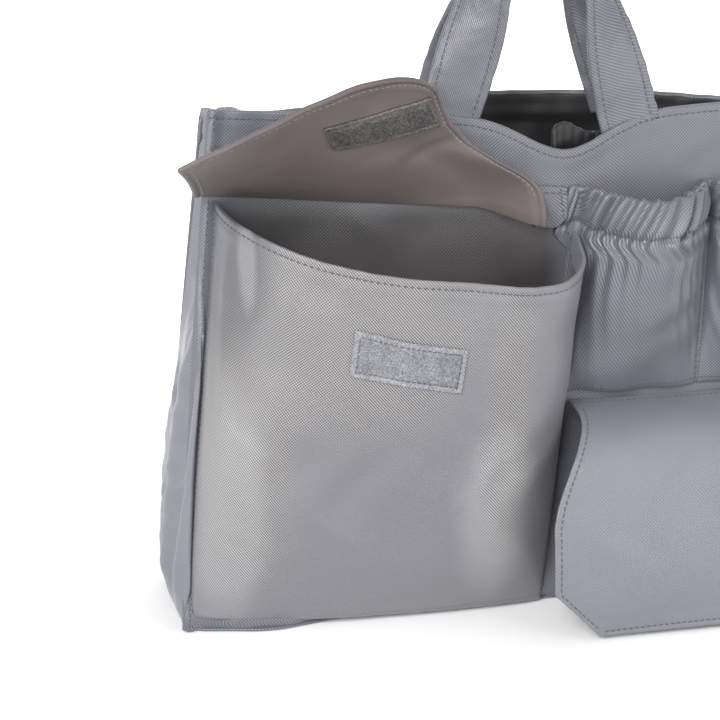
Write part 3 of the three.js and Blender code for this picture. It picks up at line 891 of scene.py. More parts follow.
def base_points(inset, height):
    across, deep = unit_grid(*BASE_GRID)
    half = HALF_BASE - inset
    x = (2 * across - 1) * half
    corner = rounded(BASE_CORNER, np.abs(x) - (half - BASE_CORNER))
    front = front_face(x, 0) - foot_bulge(x, 0)
    return stack(x, lerp(front + inset + corner, back_face(x, 0) - inset - corner, deep), height)


def make_base():
    """The base: outer panel, board and lining."""
    cloth = Cloth(base_points(1.5, 0.25), (0, 0, -1))
    x, y, _ = xyz(cloth.points)
    cloth.raise_by(-0.12 - 0.12 * ripples(x, y, 31, 5, (30, 80)).clip(-1, 1))
    dressed("base_outer", cloth, 1.4, TWILL, ["base_panel"])
    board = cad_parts["base_board"]
    board.data.materials.clear()
    board.data.materials.append(BOARD)
    lining = Cloth(base_points(5.6, 5.6), (0, 0, 1))
    x, y, _ = xyz(lining.points)
    lining.raise_by(0.35 + 0.35 * ripples(x, y, 33, 6, (25, 70)).clip(-1, 1))
    dressed("base_lining_sheet", lining, 0.8, LINING, ["base_lining"])


# Large patch pocket

def pocket_mouth(share):
    power = math.log(0.5) / math.log(MOUTH_DIP_AT)
    return lerp(MOUTH_LEFT, MOUTH_RIGHT, share) - MOUTH_DIP * np.sin(math.pi * share ** power)


def pocket_bottom(share):
    return lerp(POCKET_BOTTOM_LEFT, POCKET_BOTTOM, smooth(share, 0, 0.62))


def pocket_left(z):
    return -half_width(z) + lerp(POCKET_SEAM_INSET - 3, POCKET_SEAM_INSET, smooth(z, 10, 170))


def pocket_right(z):
    return lerp(POCKET_RIGHT_FOOT, POCKET_RIGHT_MOUTH, z / MOUTH_RIGHT)


def pocket_point(share, v):
    power = 2 / POCKET_ROUNDNESS
    turn = np.cos(math.pi * share)
    z = lerp(pocket_bottom(share), pocket_mouth(share), v)
    x = lerp(pocket_left(z), pocket_right(z), 0.5 - 0.5 * np.sign(turn) * np.abs(turn) ** power)
    swell = POCKET_SWELL * np.sqrt(0.024 + 0.976 * v)
    depth = POCKET_GAP + swell * np.maximum(np.sin(math.pi * share), 0) ** power
    return stack(x, front_face(x, z) - depth, z)


def pocket_shares():
    """Shares round the pocket, one for each column, that step evenly along its girth."""
    fine = np.linspace(0, 1, 801)
    run = run_along(pocket_point(fine, POCKET_GIRTH_AT))
    return np.interp(np.linspace(0, run[-1], POCKET_GRID[0] + 1), run, fine)


def pocket_cloth():
    """The pocket's face: rows that curl in under its bottom edge, then up to its mouth."""
    face = pocket_point(*np.meshgrid(pocket_shares(), np.linspace(0, 1, POCKET_GRID[1] + 1)))
    turn = np.linspace(0, 1, POCKET_CURL, endpoint=False)[:, None] * math.pi / 2
    x, y, z = xyz(face[0])
    foot_y = lerp(front_face(x, z) - 0.3, y, np.sin(turn))
    foot = stack(x, foot_y, z - POCKET_CURL_DROP * np.cos(turn))
    return Cloth(np.concatenate([foot, face]), FROM_FRONT)


def make_pocket():
    cloth = pocket_cloth()
    x, _, z = xyz(cloth.points)
    left = cloth.from_side("left")
    top = cloth.from_side("top")
    free = smooth(left, 3, 40) * smooth(cloth.from_side("right"), 3, 40)
    free = free * smooth(cloth.from_side("bottom"), 6, 50)
    height = 1.5 * free * ripples(x, z, 51, 5, (70, 150))
    height += 0.45 * free * ripples(x, z, 52, 6, (28, 60))
    height += 0.3 * free * ripples(x, z, 54, 4, (20, 38), (20, 60))
    drag = plateau(left, 6, 14, 20, 46) * smooth(z, 60, 120)
    height += 0.8 * drag * smooth(top, 5, 30) * np.sin(left * 2 * math.pi / 19 + 0.4 * np.sin(z / 18))
    height += 0.3 * fade(top, 6.5, 9) - 0.4 * hump(top, ROW_FROM_EDGE)
    height += 0.18 * np.exp(-top / 7) * ripples(x, z, 53, 4, (6, 13), (-15, 15))
    cloth.raise_by(height - 0.4 * hump(left, SIDE_ROW))
    thick = 1.1 + 0.9 * fade(cloth.from_side("top"), POCKET_HEM - 1, POCKET_HEM)
    dressed("patch_pocket", cloth, thick, POCKET_TWILL, ["diaper_pocket"], hem=POCKET_HEM,
            inner_look=COATED, inner_rows=cloth.points.shape[0] - 10)
    thread = Thread(5).rows(cloth, ROW_FROM_EDGE, "top").rows(cloth, SIDE_ROW, "left", "right", start=0.04)
    sewn(thread, "patch_pocket_stitches")
    return cloth


def fuzz_of(cloth, name, look, seed, hooked):
    """Loops or hooks that stand on a tape's face, inside its plain edges."""
    rng = np.random.default_rng(seed)
    shares = []
    size = cloth.flat_size()
    counts = [int((length - 4) / PILE_PITCH) for length in size]
    steps = np.meshgrid(*[(np.arange(count) + 0.5) / count for count in counts])
    for step, length in zip(steps, size):
        spread = rng.normal(0, 0.25 * PILE_PITCH / length, step.size)
        shares.append(lerp(2 / length, 1 - 2 / length, step.ravel()) + spread)
    rows, columns = cloth.points.shape[:2]
    i = np.clip(shares[1] * (rows - 1), 0, rows - 1.001)
    j = np.clip(shares[0] * (columns - 1), 0, columns - 1.001)
    centre = cloth.spot(i, j)
    i, j = i.astype(int), j.astype(int)
    up = cloth.normals[i, j]
    along = unit(cloth.points[i, j + 1] - cloth.points[i, j])
    angle = rng.uniform(0, 2 * math.pi, len(centre))[:, None]
    heading = along * np.cos(angle) + np.cross(up, along) * np.sin(angle)
    cross = np.cross(up, heading) * PILE_THIN
    reach = rng.uniform(0.7, 1.2, len(centre))[:, None]
    rings = []
    for turn in np.linspace(0, math.pi * (0.78 if hooked else 1.0), PILE_STEPS):
        place = centre - heading * (math.cos(turn) * 0.45 * reach)
        place = place + up * (math.sin(turn) * 0.6 * reach - 0.05)
        out = (up * math.sin(turn) - heading * math.cos(turn)) * PILE_THIN
        rings += [place + out, place - out / 2 + cross, place - out / 2 - cross]
    return add_copies(name, np.stack(rings, axis=1), tube_faces(PILE_STEPS, 3), look)


def tape(name, points, seen_from, node, seed, hooked, attach=on_shell):
    """A sewn strip of hook or loop tape: a woven ground, its pile, and a box of stitches."""
    look, slot = (HOOKS, "hook_tape") if hooked else (LOOPS, "loop_tape")
    cloth = Cloth(points, seen_from)
    borders = ("left", "right", "bottom", "top")
    edge = cloth.from_sides(*borders)
    weave = ripples(cloth.from_side("left"), cloth.from_side("bottom"), seed, 5, (2, 5))
    cloth.raise_by(0.12 * weave - 0.35 * hump(edge, TAPE_ROW, 0.6) + 0.25 * smooth(edge, 2, 3.4))
    ground = sheet(f"{name}_ground", cloth, 1.0, look)
    pile = fuzz_of(cloth, f"{name}_pile", look, seed + 1, hooked)
    thread = Thread(seed).rows(cloth, TAPE_ROW, *borders, start=0.05, stop=0.95, stitch=TAPE_STITCH)
    box = thread.piece(f"{name}_stitches", THREAD)
    for piece in (ground, pile, box):
        attach(piece)
    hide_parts(node)
    width, length = cloth.flat_size()


def make_pocket_strip(cloth):
    """The loop strip, whose place is found across and up the pocket's own face."""
    u, v = unit_grid(*TAPE_GRID)
    bottom = pocket_bottom(0.5)
    mouth = pocket_mouth(0.5)
    along = (u - 0.5) * TAPE_LENGTH
    drop = TAPE_WIDTH * (1 - v) + along * math.sin(LOOP_TILT)
    share = LOOP_TOP_SHARE - drop / (mouth - bottom)
    z = lerp(bottom, mouth, share)
    left = pocket_left(z)
    x = LOOP_CENTRE_X + along + (v - 0.5) * TAPE_WIDTH * math.sin(LOOP_TILT)
    across = 1 - 2 * (x - left) / (pocket_right(z) - left)
    girth = np.arccos(np.sign(across) * np.abs(across) ** (POCKET_ROUNDNESS / 2)) / math.pi
    column = np.interp(girth, pocket_shares(), np.arange(POCKET_GRID[0] + 1))
    row = POCKET_CURL + share * POCKET_GRID[1]
    tape("pocket_loops", cloth.spot(row, column, TAPE_LIFT), FROM_FRONT, "pocket_loop_strip", 55, False)


# Flap over the large pocket

def hinge_line(left, right, left_height, right_height, depth):
    start = np.array([left, front_face(left, left_height) - depth, left_height])
    along = np.array([right, front_face(right, right_height) - depth, right_height]) - start
    return start, along, unit(np.array([along[1], -along[0], 0]))


FLAP_START, FLAP_ALONG, FLAP_FORWARD = hinge_line(
    -half_width(FLAP_LEFT_HEIGHT) + FLAP_LEFT_INSET, FLAP_RIGHT,
    FLAP_LEFT_HEIGHT, FLAP_RIGHT_HEIGHT, FLAP_DEPTH)
FLAP_SPAN = float(np.linalg.norm(FLAP_ALONG))


def flap_place(share, reach):
    share = np.asarray(share, float)
    rise = np.radians(lerp(FLAP_RISE_LEFT, FLAP_RISE_RIGHT, share))
    return (FLAP_START + FLAP_ALONG * share[..., None] + FLAP_FORWARD * (reach * np.cos(rise))[..., None]
            + UP * (reach * np.sin(rise))[..., None])


def flap_share(u, reach):
    """Share along the hinge at a share across the flap, flared at its left and curved in at its right."""
    out = reach / FLAP_LENGTH
    right = 1 - FLAP_SLANT / FLAP_SPAN * (1 - (1 - out) ** FLAP_SLANT_POWER)
    return lerp(-FLAP_FLARE / FLAP_SPAN * out, right, u)


FOLD_LEFT = flap_place(flap_share(0.0, FLAP_FOLD_AT), FLAP_FOLD_AT)
FOLD_RIGHT = flap_place(flap_share(1.0, FLAP_FOLD_AT), FLAP_FOLD_AT)
FOLD_WIDTH = float(np.linalg.norm(FOLD_RIGHT - FOLD_LEFT))


def flap_lines(u):
    """The flap's crease at the wall, its straight fold and its free edge, at shares across it."""
    reach = FLAP_LENGTH - FLAP_CORNER_CUT * np.maximum(0, (u - 0.8) / 0.2) ** 2
    reach = reach - 3.8 * hump(u, 0.86, 0.11)
    crease = flap_place(u * FLAP_ROOT_SHARE, 0 * u) + FLAP_LOOSE * fade(u, 0, 0.14)[..., None]
    crease = crease + (FLAP_FORWARD * FLAP_STAND - UP * FLAP_DROOP) * smooth(u, 0.78, 1)[..., None]
    fold = lerp(FOLD_LEFT, FOLD_RIGHT, u[..., None])
    return crease, fold, flap_place(flap_share(u, reach), reach)


def flap_runs(u):
    """How far it is from the crease to the fold, and from the fold to the free edge."""
    crease, fold, edge = flap_lines(u)
    return np.linalg.norm(fold - crease, axis=-1), np.linalg.norm(edge - fold, axis=-1)


def flap_points():
    """The flap's middle surface, from the crease to the free edge, bending softly at the fold."""
    u, v = unit_grid(*FLAP_GRID)
    crease, fold, edge = flap_lines(u)
    root, tip = flap_runs(u)
    run = v * (root + tip)
    turn = np.clip((run - root) / FLAP_SOFTNESS * 0.5 + 0.5, 0, 1)[..., None]
    before = lerp(fold, crease, (FLAP_SOFTNESS / root)[..., None])
    after = lerp(fold, edge, (FLAP_SOFTNESS / tip)[..., None])
    bend = (1 - turn) ** 2 * before + 2 * turn * (1 - turn) * fold + turn ** 2 * after
    flat = np.where((run < root)[..., None], lerp(crease, fold, (run / root)[..., None]),
                    lerp(fold, edge, ((run - root) / tip)[..., None]))
    points = np.where((np.abs(run - root) < FLAP_SOFTNESS)[..., None], bend, flat)
    near = np.clip(run / root, 0, 1)
    lift = 13 * smooth(u, 0.55, 1) * np.sin(math.pi * np.sqrt(near))
    sway = (4 * hump(v, 0.1, 0.1) - 7 * hump(v, 0.4, 0.22)) * smooth(u, 0.6, 1) / FLAP_SPAN
    points = points + UP * lift[..., None] + FLAP_ALONG * sway[..., None]
    taut = 0.85 * fade(u, 0, 0.18)
    points = lerp(points, lerp(crease, edge, v[..., None]), taut[..., None])
    clear = 3 * hump(u, 0.07, 0.07) * np.sin(math.pi * np.sqrt(v))
    return points + UP * clear[..., None], run


def flap_bend(piece):
    """Works out the flap's fold axis and the reach across its soft fold, uses neither, and bakes a piece's
    transform into its mesh.
    """
    _, fold, edge = flap_lines(np.array([0.5]))
    axis = (FOLD_RIGHT - FOLD_LEFT) / FOLD_WIDTH
    over = (edge - fold)[0]
    over = over - axis * (over @ axis)
    over = over / np.linalg.norm(over) * FLAP_SOFTNESS / 2
    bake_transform(piece)


def make_flap():
    """The flap: a twill face whose hem rolls over its edges, and the coated underside inside the hem."""
    points, reach = flap_points()
    middle = Cloth(points, FLAP_SEEN)
    x = middle.from_side("left")
    free = smooth(reach, 8, 40) * smooth(x, 6, 40)
    slack = 1.1 * free * ripples(x, reach, 71, 4, (60, 130))
    middle.raise_by(slack + 0.3 * free * ripples(x, reach, 72, 5, (22, 45)))
    hemmed = ("left", "right", "top")
    outer = Cloth(middle.at(1.0), FLAP_SEEN)
    edge = outer.from_sides(*hemmed)
    outer.raise_by(0.25 * fade(edge, 6, 8) - 0.3 * hump(edge, FLAP_ROW))
    nodes = ["diaper_flap_root", "diaper_flap_tip"]
    dressed("flap_outer", outer, 1.0 + 1.3 * fade(edge, 1.6, 3.4), TWILL, nodes,
            attach=flap_bend, inner_look=COATED)
    under = Cloth(middle.at(-0.75), FLAP_UNDER_SEEN)
    edge = under.from_sides(*hemmed)
    under.raise_by(0.2 * fade(edge, 6, 8) - 0.35 * hump(edge, FLAP_ROW))
    inside = Cloth(under.points[:-2, 2:-2], FLAP_UNDER_SEEN)
    nodes = ["diaper_flap_root_lining", "diaper_flap_tip_lining"]
    dressed("flap_underside", inside, 0.7, COATED, nodes, flap_bend)
    thread = Thread(7)
    for cloth in (outer, under):
        thread.rows(cloth, FLAP_ROW, "top", start=0.03, stop=0.97)
        thread.rows(cloth, FLAP_ROW, "left", "right", start=0.06, stop=0.95)
    sewn(thread, "flap_stitches", flap_bend, PALE_THREAD)
    return under


def make_flap_hook(under):
    """The hook strip sewn to the flap's underside, from just past the fold."""
    u, v = unit_grid(*TAPE_GRID)
    across = FLAP_HOOK_SHARE + (u - 0.5) * TAPE_LENGTH / FOLD_WIDTH
    root, tip = flap_runs(across)
    row = (root + FLAP_HOOK_FROM_FOLD + TAPE_WIDTH * v) / (root + tip) * FLAP_GRID[1]
    points = under.spot(row, across * FLAP_GRID[0], 1.05)
    tape("flap_hooks", points, FLAP_UNDER_SEEN, "flap_hook_strip", 75, True, flap_bend)


def make_flap_seam():
    """The end of the flap that hangs from its seam on the wall, beside the crease."""
    u, v = unit_grid(*TAB_GRID)
    x, _, seam = xyz(FLAP_START + FLAP_ALONG * lerp(0.95, 1.04, u)[..., None])
    low = seam - 9 * np.sqrt(np.maximum(1 - smooth(u, 0.45, 1.1) ** 1.5, 0))
    z = lerp(low, seam + 10, v)
    out = lerp(1.5, 1.0, v) + 0.5 * np.sin(math.pi * v) + 1.5 * smooth(u, 0.5, 1) * (1 - v)
    cloth = Cloth(stack(x, front_face(x, z) - out, z), FROM_FRONT)
    cloth.raise_by(0.3 * np.sin(math.pi * v) * ripples(x, z, 77, 4, (8, 20), (-25, 25)))
    dressed("flap_seam_strip", cloth, 1.0, STRAP_TWILL, [])
    thread = Thread(9).rows(cloth, ROW_FROM_EDGE, "top").rows(cloth, ROW_FROM_EDGE, "right", start=0.05)
    sewn(thread, "flap_seam_stitches")


# Elastic-topped pocket

def bottle_side(z, low, high):
    """A line beside the large pocket's seam low down, which moves to its own place at the casing."""
    return lerp(pocket_right(z) + low, high, smooth(z, MOUTH_RIGHT - 8, MOUTH_RIGHT + 2))


def make_bottle_pocket():
    u, v = unit_grid(*BOTTLE_GRID)
    right = half_width(BOTTLE_TOP) - BOTTLE_SIDE_INSET
    nominal = lerp(BOTTLE_BOTTOM, BOTTLE_TOP, v)
    slanted = BOTTLE_LEFT_TOP - BOTTLE_LEFT_SLANT * (BOTTLE_TOP - nominal)
    x = lerp(bottle_side(nominal, -3, slanted), right, u)
    bay_left = bottle_side(nominal, 1.5, BOTTLE_BAY_LEFT)
    share = np.clip((x - bay_left) / (right - bay_left), 0, 1)
    bay = np.abs(np.sin(2 * math.pi * share))
    z = lerp(BOTTLE_BOTTOM, BOTTLE_TOP - BOTTLE_DIP * bay, v)
    swell = BOTTLE_SWELL * (0.04 + 0.96 * np.sin(math.pi * (0.02 + 0.64 * v)))
    depth = 0.35 + 1.05 * smooth(x, bay_left - 2, bay_left + 2) + swell * bay ** 0.8
    cloth = Cloth(stack(x, front_face(x, z) - depth, z), FROM_FRONT)
    along = cloth.from_side("left")
    top = cloth.from_side("top")
    held = smooth(bay, 0.02, 0.22)
    gather = np.where(top < BOTTLE_CASING, 1.0, np.exp(-(top - BOTTLE_CASING) / 22))
    folds = ripples(along, z * 0.1, 81, 3, (6, 11), (-5, 5))
    height = 2.0 * gather * held * np.sign(folds) * np.abs(folds) ** 0.75
    height += 0.8 * held * smooth(top, 14, 40) * ripples(x, z, 82, 5, (25, 60))
    height += 1.2 * hump(top, 9, 7) * held - 1.6 * hump(top, BOTTLE_CASING, 1.6)
    height -= 0.5 * hump(share, 0.5, 0.01)
    binding = smooth(z, MOUTH_RIGHT - 2, MOUTH_RIGHT + 6)
    height += (1.5 * fade(along, 4, 5) - 1.2 * hump(along, SIDE_ROW)) * binding
    cloth.raise_by(height)
    thick = 1.1 + 1.8 * fade(top, BOTTLE_CASING - 1, BOTTLE_CASING + 0.5)
    nodes = ["bottle_pocket", "bottle_pocket_left_elastic", "bottle_pocket_right_elastic"]
    dressed("bottle_bays", cloth, thick, TWILL, nodes, hem=BOTTLE_CASING)
    thread = Thread(11).rows(cloth, BOTTLE_CASING, "top").rows(cloth, BOTTLE_BINDING_ROW, "left", start=0.75)
    thread.rows(cloth, ROW_FROM_EDGE, "right").rows(cloth, BOTTLE_FOOT_ROW, "bottom", start=0.1)
    middle = int(np.argmin(np.abs(share[0] - 0.5)))
    for column in (middle - 1, middle + 1):
        thread.sew((cloth.points[:, column], cloth.normals[:, middle]))
    sewn(thread, "bottle_bay_stitches")


# Gusseted pocket and its flap

LOWER_RIGHT = half_width(LOWER_RIM) - LOWER_SIDE_INSET


def lower_front_points():
    u, v = unit_grid(*LOWER_GRID)
    z = lerp(LOWER_BOTTOM, LOWER_RIM, v)
    pull = rounded(LOWER_CORNER, LOWER_CORNER - (z - LOWER_BOTTOM))
    x = lerp(LOWER_LEFT + pull, LOWER_RIGHT - pull, u)
    crown = LOWER_CROWN * np.sin(math.pi * u) * np.sin(math.pi * (1 + 2 * v) / 4)
    return stack(x, front_face(x, z) - LOWER_DEPTH - crown, z)


def gusset_points():
    """A strip round the pocket's left side, bottom and right side, from the wall out to its front."""
    columns, rows = GUSSET_GRID
    radius = LOWER_CORNER
    straight = LOWER_RIM - LOWER_BOTTOM - radius
    bend = math.pi / 2 * radius
    runs = np.linspace(0, 2 * straight + 2 * bend + LOWER_RIGHT - LOWER_LEFT - 2 * radius, columns + 1)
    on_left = runs <= runs[-1] / 2
    half = np.where(on_left, runs, runs[-1] - runs)
    turn = np.clip((half - straight) / radius, 0, math.pi / 2)
    inward = radius - radius * np.cos(turn) + np.maximum(half - straight - bend, 0)
    z = LOWER_BOTTOM + radius - radius * np.sin(turn) + np.maximum(straight - half, 0)
    x = np.where(on_left, LOWER_LEFT + inward, LOWER_RIGHT - inward)
    v = np.linspace(0, 1, rows + 1)[:, None]
    return stack(x, front_face(x, z) - lerp(0.4, LOWER_DEPTH - 1.4, v), z)


def make_lower_pocket():
    cloth = Cloth(lower_front_points(), FROM_FRONT)
    x, _, z = xyz(cloth.points)
    sewn_sides = ("left", "right", "bottom")
    edge = cloth.from_sides(*sewn_sides)
    top = cloth.from_side("top")
    height = 0.6 * smooth(edge, 2, 20) * ripples(x, z, 91, 5, (22, 60))
    height += 0.4 * fade(edge, 1.5, 3) - 0.35 * hump(edge, SEAM_ROW)
    height += 0.2 * np.exp(-top / 7) * ripples(x, z, 92, 4, (6, 14), (-15, 15))
    cloth.raise_by(height)
    thick = 1.1 + 0.8 * fade(top, POCKET_HEM - 1, POCKET_HEM)
    nodes = ["lower_pocket_front"]
    dressed("lower_pocket_face", cloth, thick, LIT_TWILL, nodes, hem=POCKET_HEM)
    thread = Thread(13).rows(cloth, ROW_FROM_EDGE, "top").rows(cloth, SEAM_ROW, *sewn_sides)
    u, v = unit_grid(*TAPE_GRID)
    column = (0.5 + (u - 0.5) * TAPE_LENGTH / (LOWER_RIGHT - LOWER_LEFT)) * LOWER_GRID[0]
    row = (LOWER_TAPE_HEIGHT + v * TAPE_WIDTH - LOWER_BOTTOM) / (LOWER_RIM - LOWER_BOTTOM) * LOWER_GRID[1]
    tape("lower_loops", cloth.spot(row, column, TAPE_LIFT), FROM_FRONT, "lower_loop_strip", 95, False)
    gusset = Cloth(gusset_points(), (0, 0, 0))
    deep = gusset.from_side("bottom")
    inside = plateau(deep, 2, 9, 24, 31)
    gusset.raise_by(-1.6 * inside - 0.5 * inside * ripples(gusset.from_side("left"), deep, 97, 5, (14, 34)))
    dressed("lower_pocket_sides", gusset, 1.1, LIT_TWILL, ["lower_pocket_gusset"])
    sewn(thread, "lower_pocket_stitches")


LOWER_START, LOWER_ALONG, LOWER_FORWARD = hinge_line(
    pocket_right(LOWER_HINGE) + LOWER_FROM_POCKET, half_width(LOWER_HINGE) - LOWER_FLAP_SIDE_INSET,
    LOWER_HINGE, LOWER_HINGE, LOWER_FLAP_DEPTH)
LOWER_SPAN = float(np.linalg.norm(LOWER_ALONG))
LOWER_DROP = LOWER_HINGE - LOWER_FLAP_BOTTOM
LOWER_CURVE = np.array([
    (-0.3, 0), (LOWER_REACH * 0.7, -2), (LOWER_REACH, -LOWER_DROP * 0.16), (LOWER_REACH, -LOWER_DROP)])


def lower_profile(share):
    """Reach and drop along the lower flap's curve, over the pocket's rim and down its front."""
    t = np.asarray(share)[..., None]
    weights = [(1 - t) ** 3, 3 * t * (1 - t) ** 2, 3 * t * t * (1 - t), t ** 3]
    return sum(weight * point for weight, point in zip(weights, LOWER_CURVE))


def lower_flap_points():
    fine = np.linspace(0, 1, 600)
    run = run_along(lower_profile(fine))
    length = run[-1]
    u, v = unit_grid(*LOWER_FLAP_GRID)
    curve = lower_profile(np.interp(v * length, run, fine))
    cut = LOWER_CHAMFER / LOWER_SPAN * np.maximum(0, (v * length - (length - LOWER_CHAMFER)) / LOWER_CHAMFER)
    flare = LOWER_FLARE / LOWER_SPAN * smooth(v, 0.1, 0.6)
    share = lerp(cut - flare, 1 - cut, u)
    points = LOWER_START + LOWER_ALONG * share[..., None]
    points = points + LOWER_FORWARD * curve[..., :1] + UP * curve[..., 1:]
    return points, v * length, length


def lower_bend(piece):
    """Bakes a piece of the lower flap's transform into its mesh."""
    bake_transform(piece)


def make_lower_flap():
    points, run, length = lower_flap_points()
    outer = Cloth(points, (0, -1, 0.5))
    x, _, z = xyz(outer.points)
    edge = outer.from_sides("left", "right", "top")
    free = smooth(run, 10, 40) * smooth(edge, 1, 14)
    height = 0.9 + 1.0 * free * ripples(x, z, 101, 4, (45, 100))
    height += 0.3 * free * ripples(x, z, 102, 5, (16, 36))
    height += 0.25 * fade(edge, 6, 8) - 0.35 * hump(edge, ROW_FROM_EDGE) - 0.3 * hump(run, LOWER_SEAM_ROW)
    height += 0.2 * np.exp(-edge / 6) * ripples(x, z, 103, 5, (6, 13))
    outer.raise_by(height)
    dressed("lower_flap_outer", outer, 0.9, LIT_TWILL, ["lower_flap"], attach=lower_bend)
    under = Cloth(outer.at(-1.65), (0, 1, -0.5))
    dressed("lower_flap_underside", under, 0.6, COATED, ["lower_flap_lining"], lower_bend)
    thread = Thread(15).rows(outer, LOWER_SEAM_ROW, "bottom")
    thread.rows(outer, ROW_FROM_EDGE, "top", start=0.03, stop=0.97)
    thread.rows(outer, ROW_FROM_EDGE, "left", "right", start=0.08, stop=0.97)
    sewn(thread, "lower_flap_stitches", lower_bend)
    u, v = unit_grid(*TAPE_GRID)
    row = (1 - (LOWER_TAPE_HEIGHT - LOWER_FLAP_BOTTOM + v * TAPE_WIDTH) / length) * LOWER_FLAP_GRID[1]
    column = (0.5 + (u - 0.5) * TAPE_LENGTH / LOWER_SPAN) * LOWER_FLAP_GRID[0]
    points = Cloth(outer.at(-1.75), outer.seen_from).spot(row, column, -1.0)
    tape("lower_hooks", points, (0, 1, 0), "lower_hook_strip", 105, True, lower_bend)


# Slip pocket inside the front wall

def make_inner_pocket():
    u, v = unit_grid(*SLIP_GRID)
    x = lerp(INNER_LEFT, half_width(WALL_HEIGHT) - INNER_SIDE_INSET, u)
    rim = front_rim(RIDGE_X) - 2 + 6 * hump(x, INNER_LEFT + 6, 9)
    z = lerp(INNER_BOTTOM, rim, v)
    held = np.sin(math.pi * u).clip(0) ** 0.5
    swell = INNER_SWELL * held * np.sin(math.pi * (0.08 + 0.6 * v))
    cloth = Cloth(stack(x, front_face(x, z) + INNER_FROM_WALL + swell, z), (0, 1, 0))
    top = cloth.from_side("top")
    gather = np.exp(-np.maximum(top - 8, 0) / 14)
    height = 0.9 * gather * held * ripples(cloth.from_side("left"), z * 0.1, 111, 3, (5.5, 9), (-5, 5))
    height += 0.6 * held * ripples(x, z, 112, 5, (22, 50)) - 0.4 * hump(top, SLIP_CASING_ROW, 1)
    cloth.raise_by(height)
    thick = 1.0 + 1.4 * fade(top, SLIP_CASING_ROW - 0.5, SLIP_CASING_ROW + 0.5)
    dressed("slip_pocket", cloth, thick, LINING, ["inner_pocket"], hem=POCKET_HEM)
    sewn(Thread(17).rows(cloth, SLIP_CASING_ROW, "top"), "slip_pocket_stitches")


# Handles

LEG = (HANDLE_SPREAD / 2 - HANDLE_BEND * math.cos(HANDLE_LEAN)) / math.sin(HANDLE_LEAN)
STRAP_LENGTH = 2 * LEG + HANDLE_BEND * (math.pi - 2 * HANDLE_LEAN)
BEND_HEIGHT = LEG * math.cos(HANDLE_LEAN) - HANDLE_BEND * math.sin(HANDLE_LEAN)


def strap_place(run):
    """Place on a handle's middle line, the way out of its bend, and how far it is from a foot."""
    left = run < STRAP_LENGTH / 2
    from_foot = run if left else STRAP_LENGTH - run
    side = -1 if left else 1
    if from_foot < LEG:
        x = side * (HANDLE_SPREAD / 2 - from_foot * math.sin(HANDLE_LEAN))
        out = np.array([side * math.cos(HANDLE_LEAN), 0, math.sin(HANDLE_LEAN)])
        return np.array([x, 0, from_foot * math.cos(HANDLE_LEAN)]), out, from_foot
    turn = HANDLE_LEAN + (run - LEG) / HANDLE_BEND
    out = np.array([-math.cos(turn), 0, math.sin(turn)])
    return out * HANDLE_BEND + UP * BEND_HEIGHT, out, from_foot


def handle_feet(face, rim, inward, centre):
    """Height of a handle's feet, and how far back its left and right foot are."""
    feet = (centre - HANDLE_SPREAD / 2, centre + HANDLE_SPREAD / 2)
    height = float(max(rim(x) for x in feet)) + STRAP_LIFT
    return height, *(float(face(x, height)) + inward * STRAP_FROM_WALL for x in feet)


def strap_points(feet, inward, centre):
    """The strap's outer face: flat behind the rim at its feet, turning its face up towards the top."""
    height, left, right = feet
    columns, rows = STRAP_GRID
    across = np.linspace(0.5, -0.5, columns + 1)[:, None] * STRAP_WIDTH
    wallward = np.array([0, inward, 0])
    points = np.empty((rows + 1, columns + 1, 3))
    for k, run in enumerate(np.linspace(-STRAP_FOOT, STRAP_LENGTH + STRAP_FOOT, rows + 1)):
        place, out, from_foot = strap_place(run)
        twist = HANDLE_TWIST * smooth(from_foot, 0, STRAP_LENGTH / 2)
        sideways = out * math.cos(twist) + wallward * math.sin(twist)
        normal = out * math.sin(twist) - wallward * math.cos(twist)
        row = place + across * sideways + normal * STRAP_THICK / 2
        row[:, 1] += lerp(left, right, 0.5 + row[:, 0] / HANDLE_SPREAD)
        row[:, 1] += inward * 1.2 * fade(from_foot, 1, 14)
        points[k] = row + np.array([centre, 0, height])
    return points


def make_handle(name, face, rim, inward, centre, seed):
    feet = handle_feet(face, rim, inward, centre)
    cloth = Cloth(strap_points(feet, inward, centre), (0, -inward, 0.4))
    across = cloth.from_sides("left", "right")
    along = cloth.from_side("bottom")
    height = 0.35 * smooth(across, 3, 7) - 0.3 * hump(across, ROW_FROM_EDGE)
    height += 0.4 * np.sin(along * 2 * math.pi / 83 + seed) * smooth(along, 12, 40)
    cloth.raise_by(height + 0.12 * ripples(along, across, seed, 4, (5, 14)))
    strap = sheet(f"{name}_strap", cloth, STRAP_THICK, STRAP_TWILL)
    thread = Thread(seed)
    for layer in (cloth, Cloth(cloth.at(-STRAP_THICK), (0, inward, -0.4))):
        thread.rows(layer, ROW_FROM_EDGE, "left", "right")
    stitches = thread.piece(f"{name}_strap_stitches", THREAD)
    for piece in (strap, stitches):
        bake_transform(piece)
    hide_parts(f"{name}_handle")
    width, length = cloth.flat_size()


# Camera, floor and light

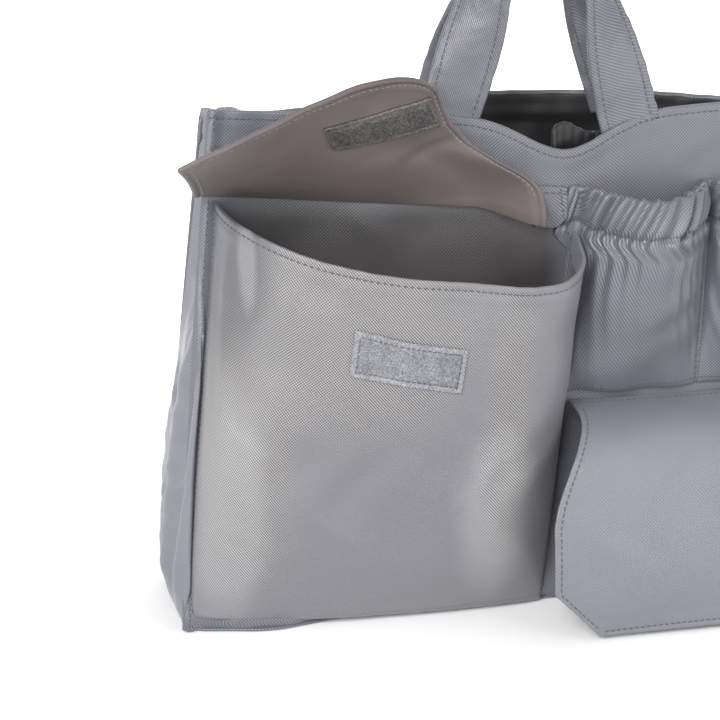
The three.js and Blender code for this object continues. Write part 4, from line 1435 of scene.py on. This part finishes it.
def add_camera():
    data = bpy.data.cameras.new("camera")
    data.sensor_width = SENSOR
    data.lens = SENSOR * FOCAL_PIXELS / FRAME_PIXELS
    data.clip_start = 0.01
    data.clip_end = 20
    camera = bpy.data.objects.new("camera", data)
    bpy.context.scene.collection.objects.link(camera)
    camera.location = Vector(CAMERA_AT) * MM
    camera.rotation_euler = (math.radians(90 - CAMERA_PITCH), 0, -math.radians(CAMERA_YAW))
    bpy.context.scene.camera = camera


def add_area(name, at, aim, side, power):
    data = bpy.data.lights.new(name, "AREA")
    data.energy = power
    data.shape = "RECTANGLE"
    data.size = side
    data.size_y = side
    lamp = bpy.data.objects.new(name, data)
    bpy.context.scene.collection.objects.link(lamp)
    lamp.location = at
    lamp.rotation_euler = (Vector(aim) - Vector(at)).to_track_quat("-Z", "Y").to_euler()


def add_world():
    world = bpy.data.worlds.new("studio")
    bpy.context.scene.world = world
    s = Shader(world)
    glow = s.tree.nodes["Background"]
    s.put(glow.inputs[0], (1, 1, 1, 1))
    s.put(glow.inputs[1], s.scale_to(s.seen_or_mirrored(), WORLD_STRENGTH, 1.0))


def add_floor():
    """A pale floor that turns to plain white away from the object, where nothing's shadow falls."""
    s, place, _ = start_look("pale_floor")
    grain = s.noise(place, 40, 3)
    distance = s.vector("LENGTH", place, out=1)
    glow = s.scale_to(s.band(distance, 0.18, 0.6), 0.08, 1.0)
    glow = s.math("MULTIPLY", glow, s.seen_or_mirrored())
    look = s.finish(base_color=s.mix(grain, grey(250, 250, 250), grey(253, 253, 253)), roughness=0.8,
                    emission_color=(1, 1, 1, 1), emission_strength=glow)
    corners = [(x * FLOOR_HALF, y * FLOOR_HALF, 0) for x, y in ((-1, -1), (1, -1), (1, 1), (-1, 1))]
    add_mesh("floor", corners, [[0, 1, 2, 3]], [look])


make_wall("front", front_face, soft_front_rim, 1, 11)
make_wall("back", back_face, soft_back_rim, -1, 21)
make_end("left", -1, 41)
make_end("right", 1, 46)
make_base()
make_pocket_strip(make_pocket())
make_flap_hook(make_flap())
make_flap_seam()
make_bottle_pocket()
make_lower_pocket()
make_lower_flap()
make_inner_pocket()
make_handle("front", front_face, front_rim, 1, 0, 121)
make_handle("back", back_face, back_rim, -1, BACK_HANDLE_SHIFT, 131)
add_camera()
add_floor()
add_world()
for lamp_name, settings in LIGHTS.items():
    add_area(lamp_name, *settings)
bpy.context.scene.view_settings.view_transform = "Standard"
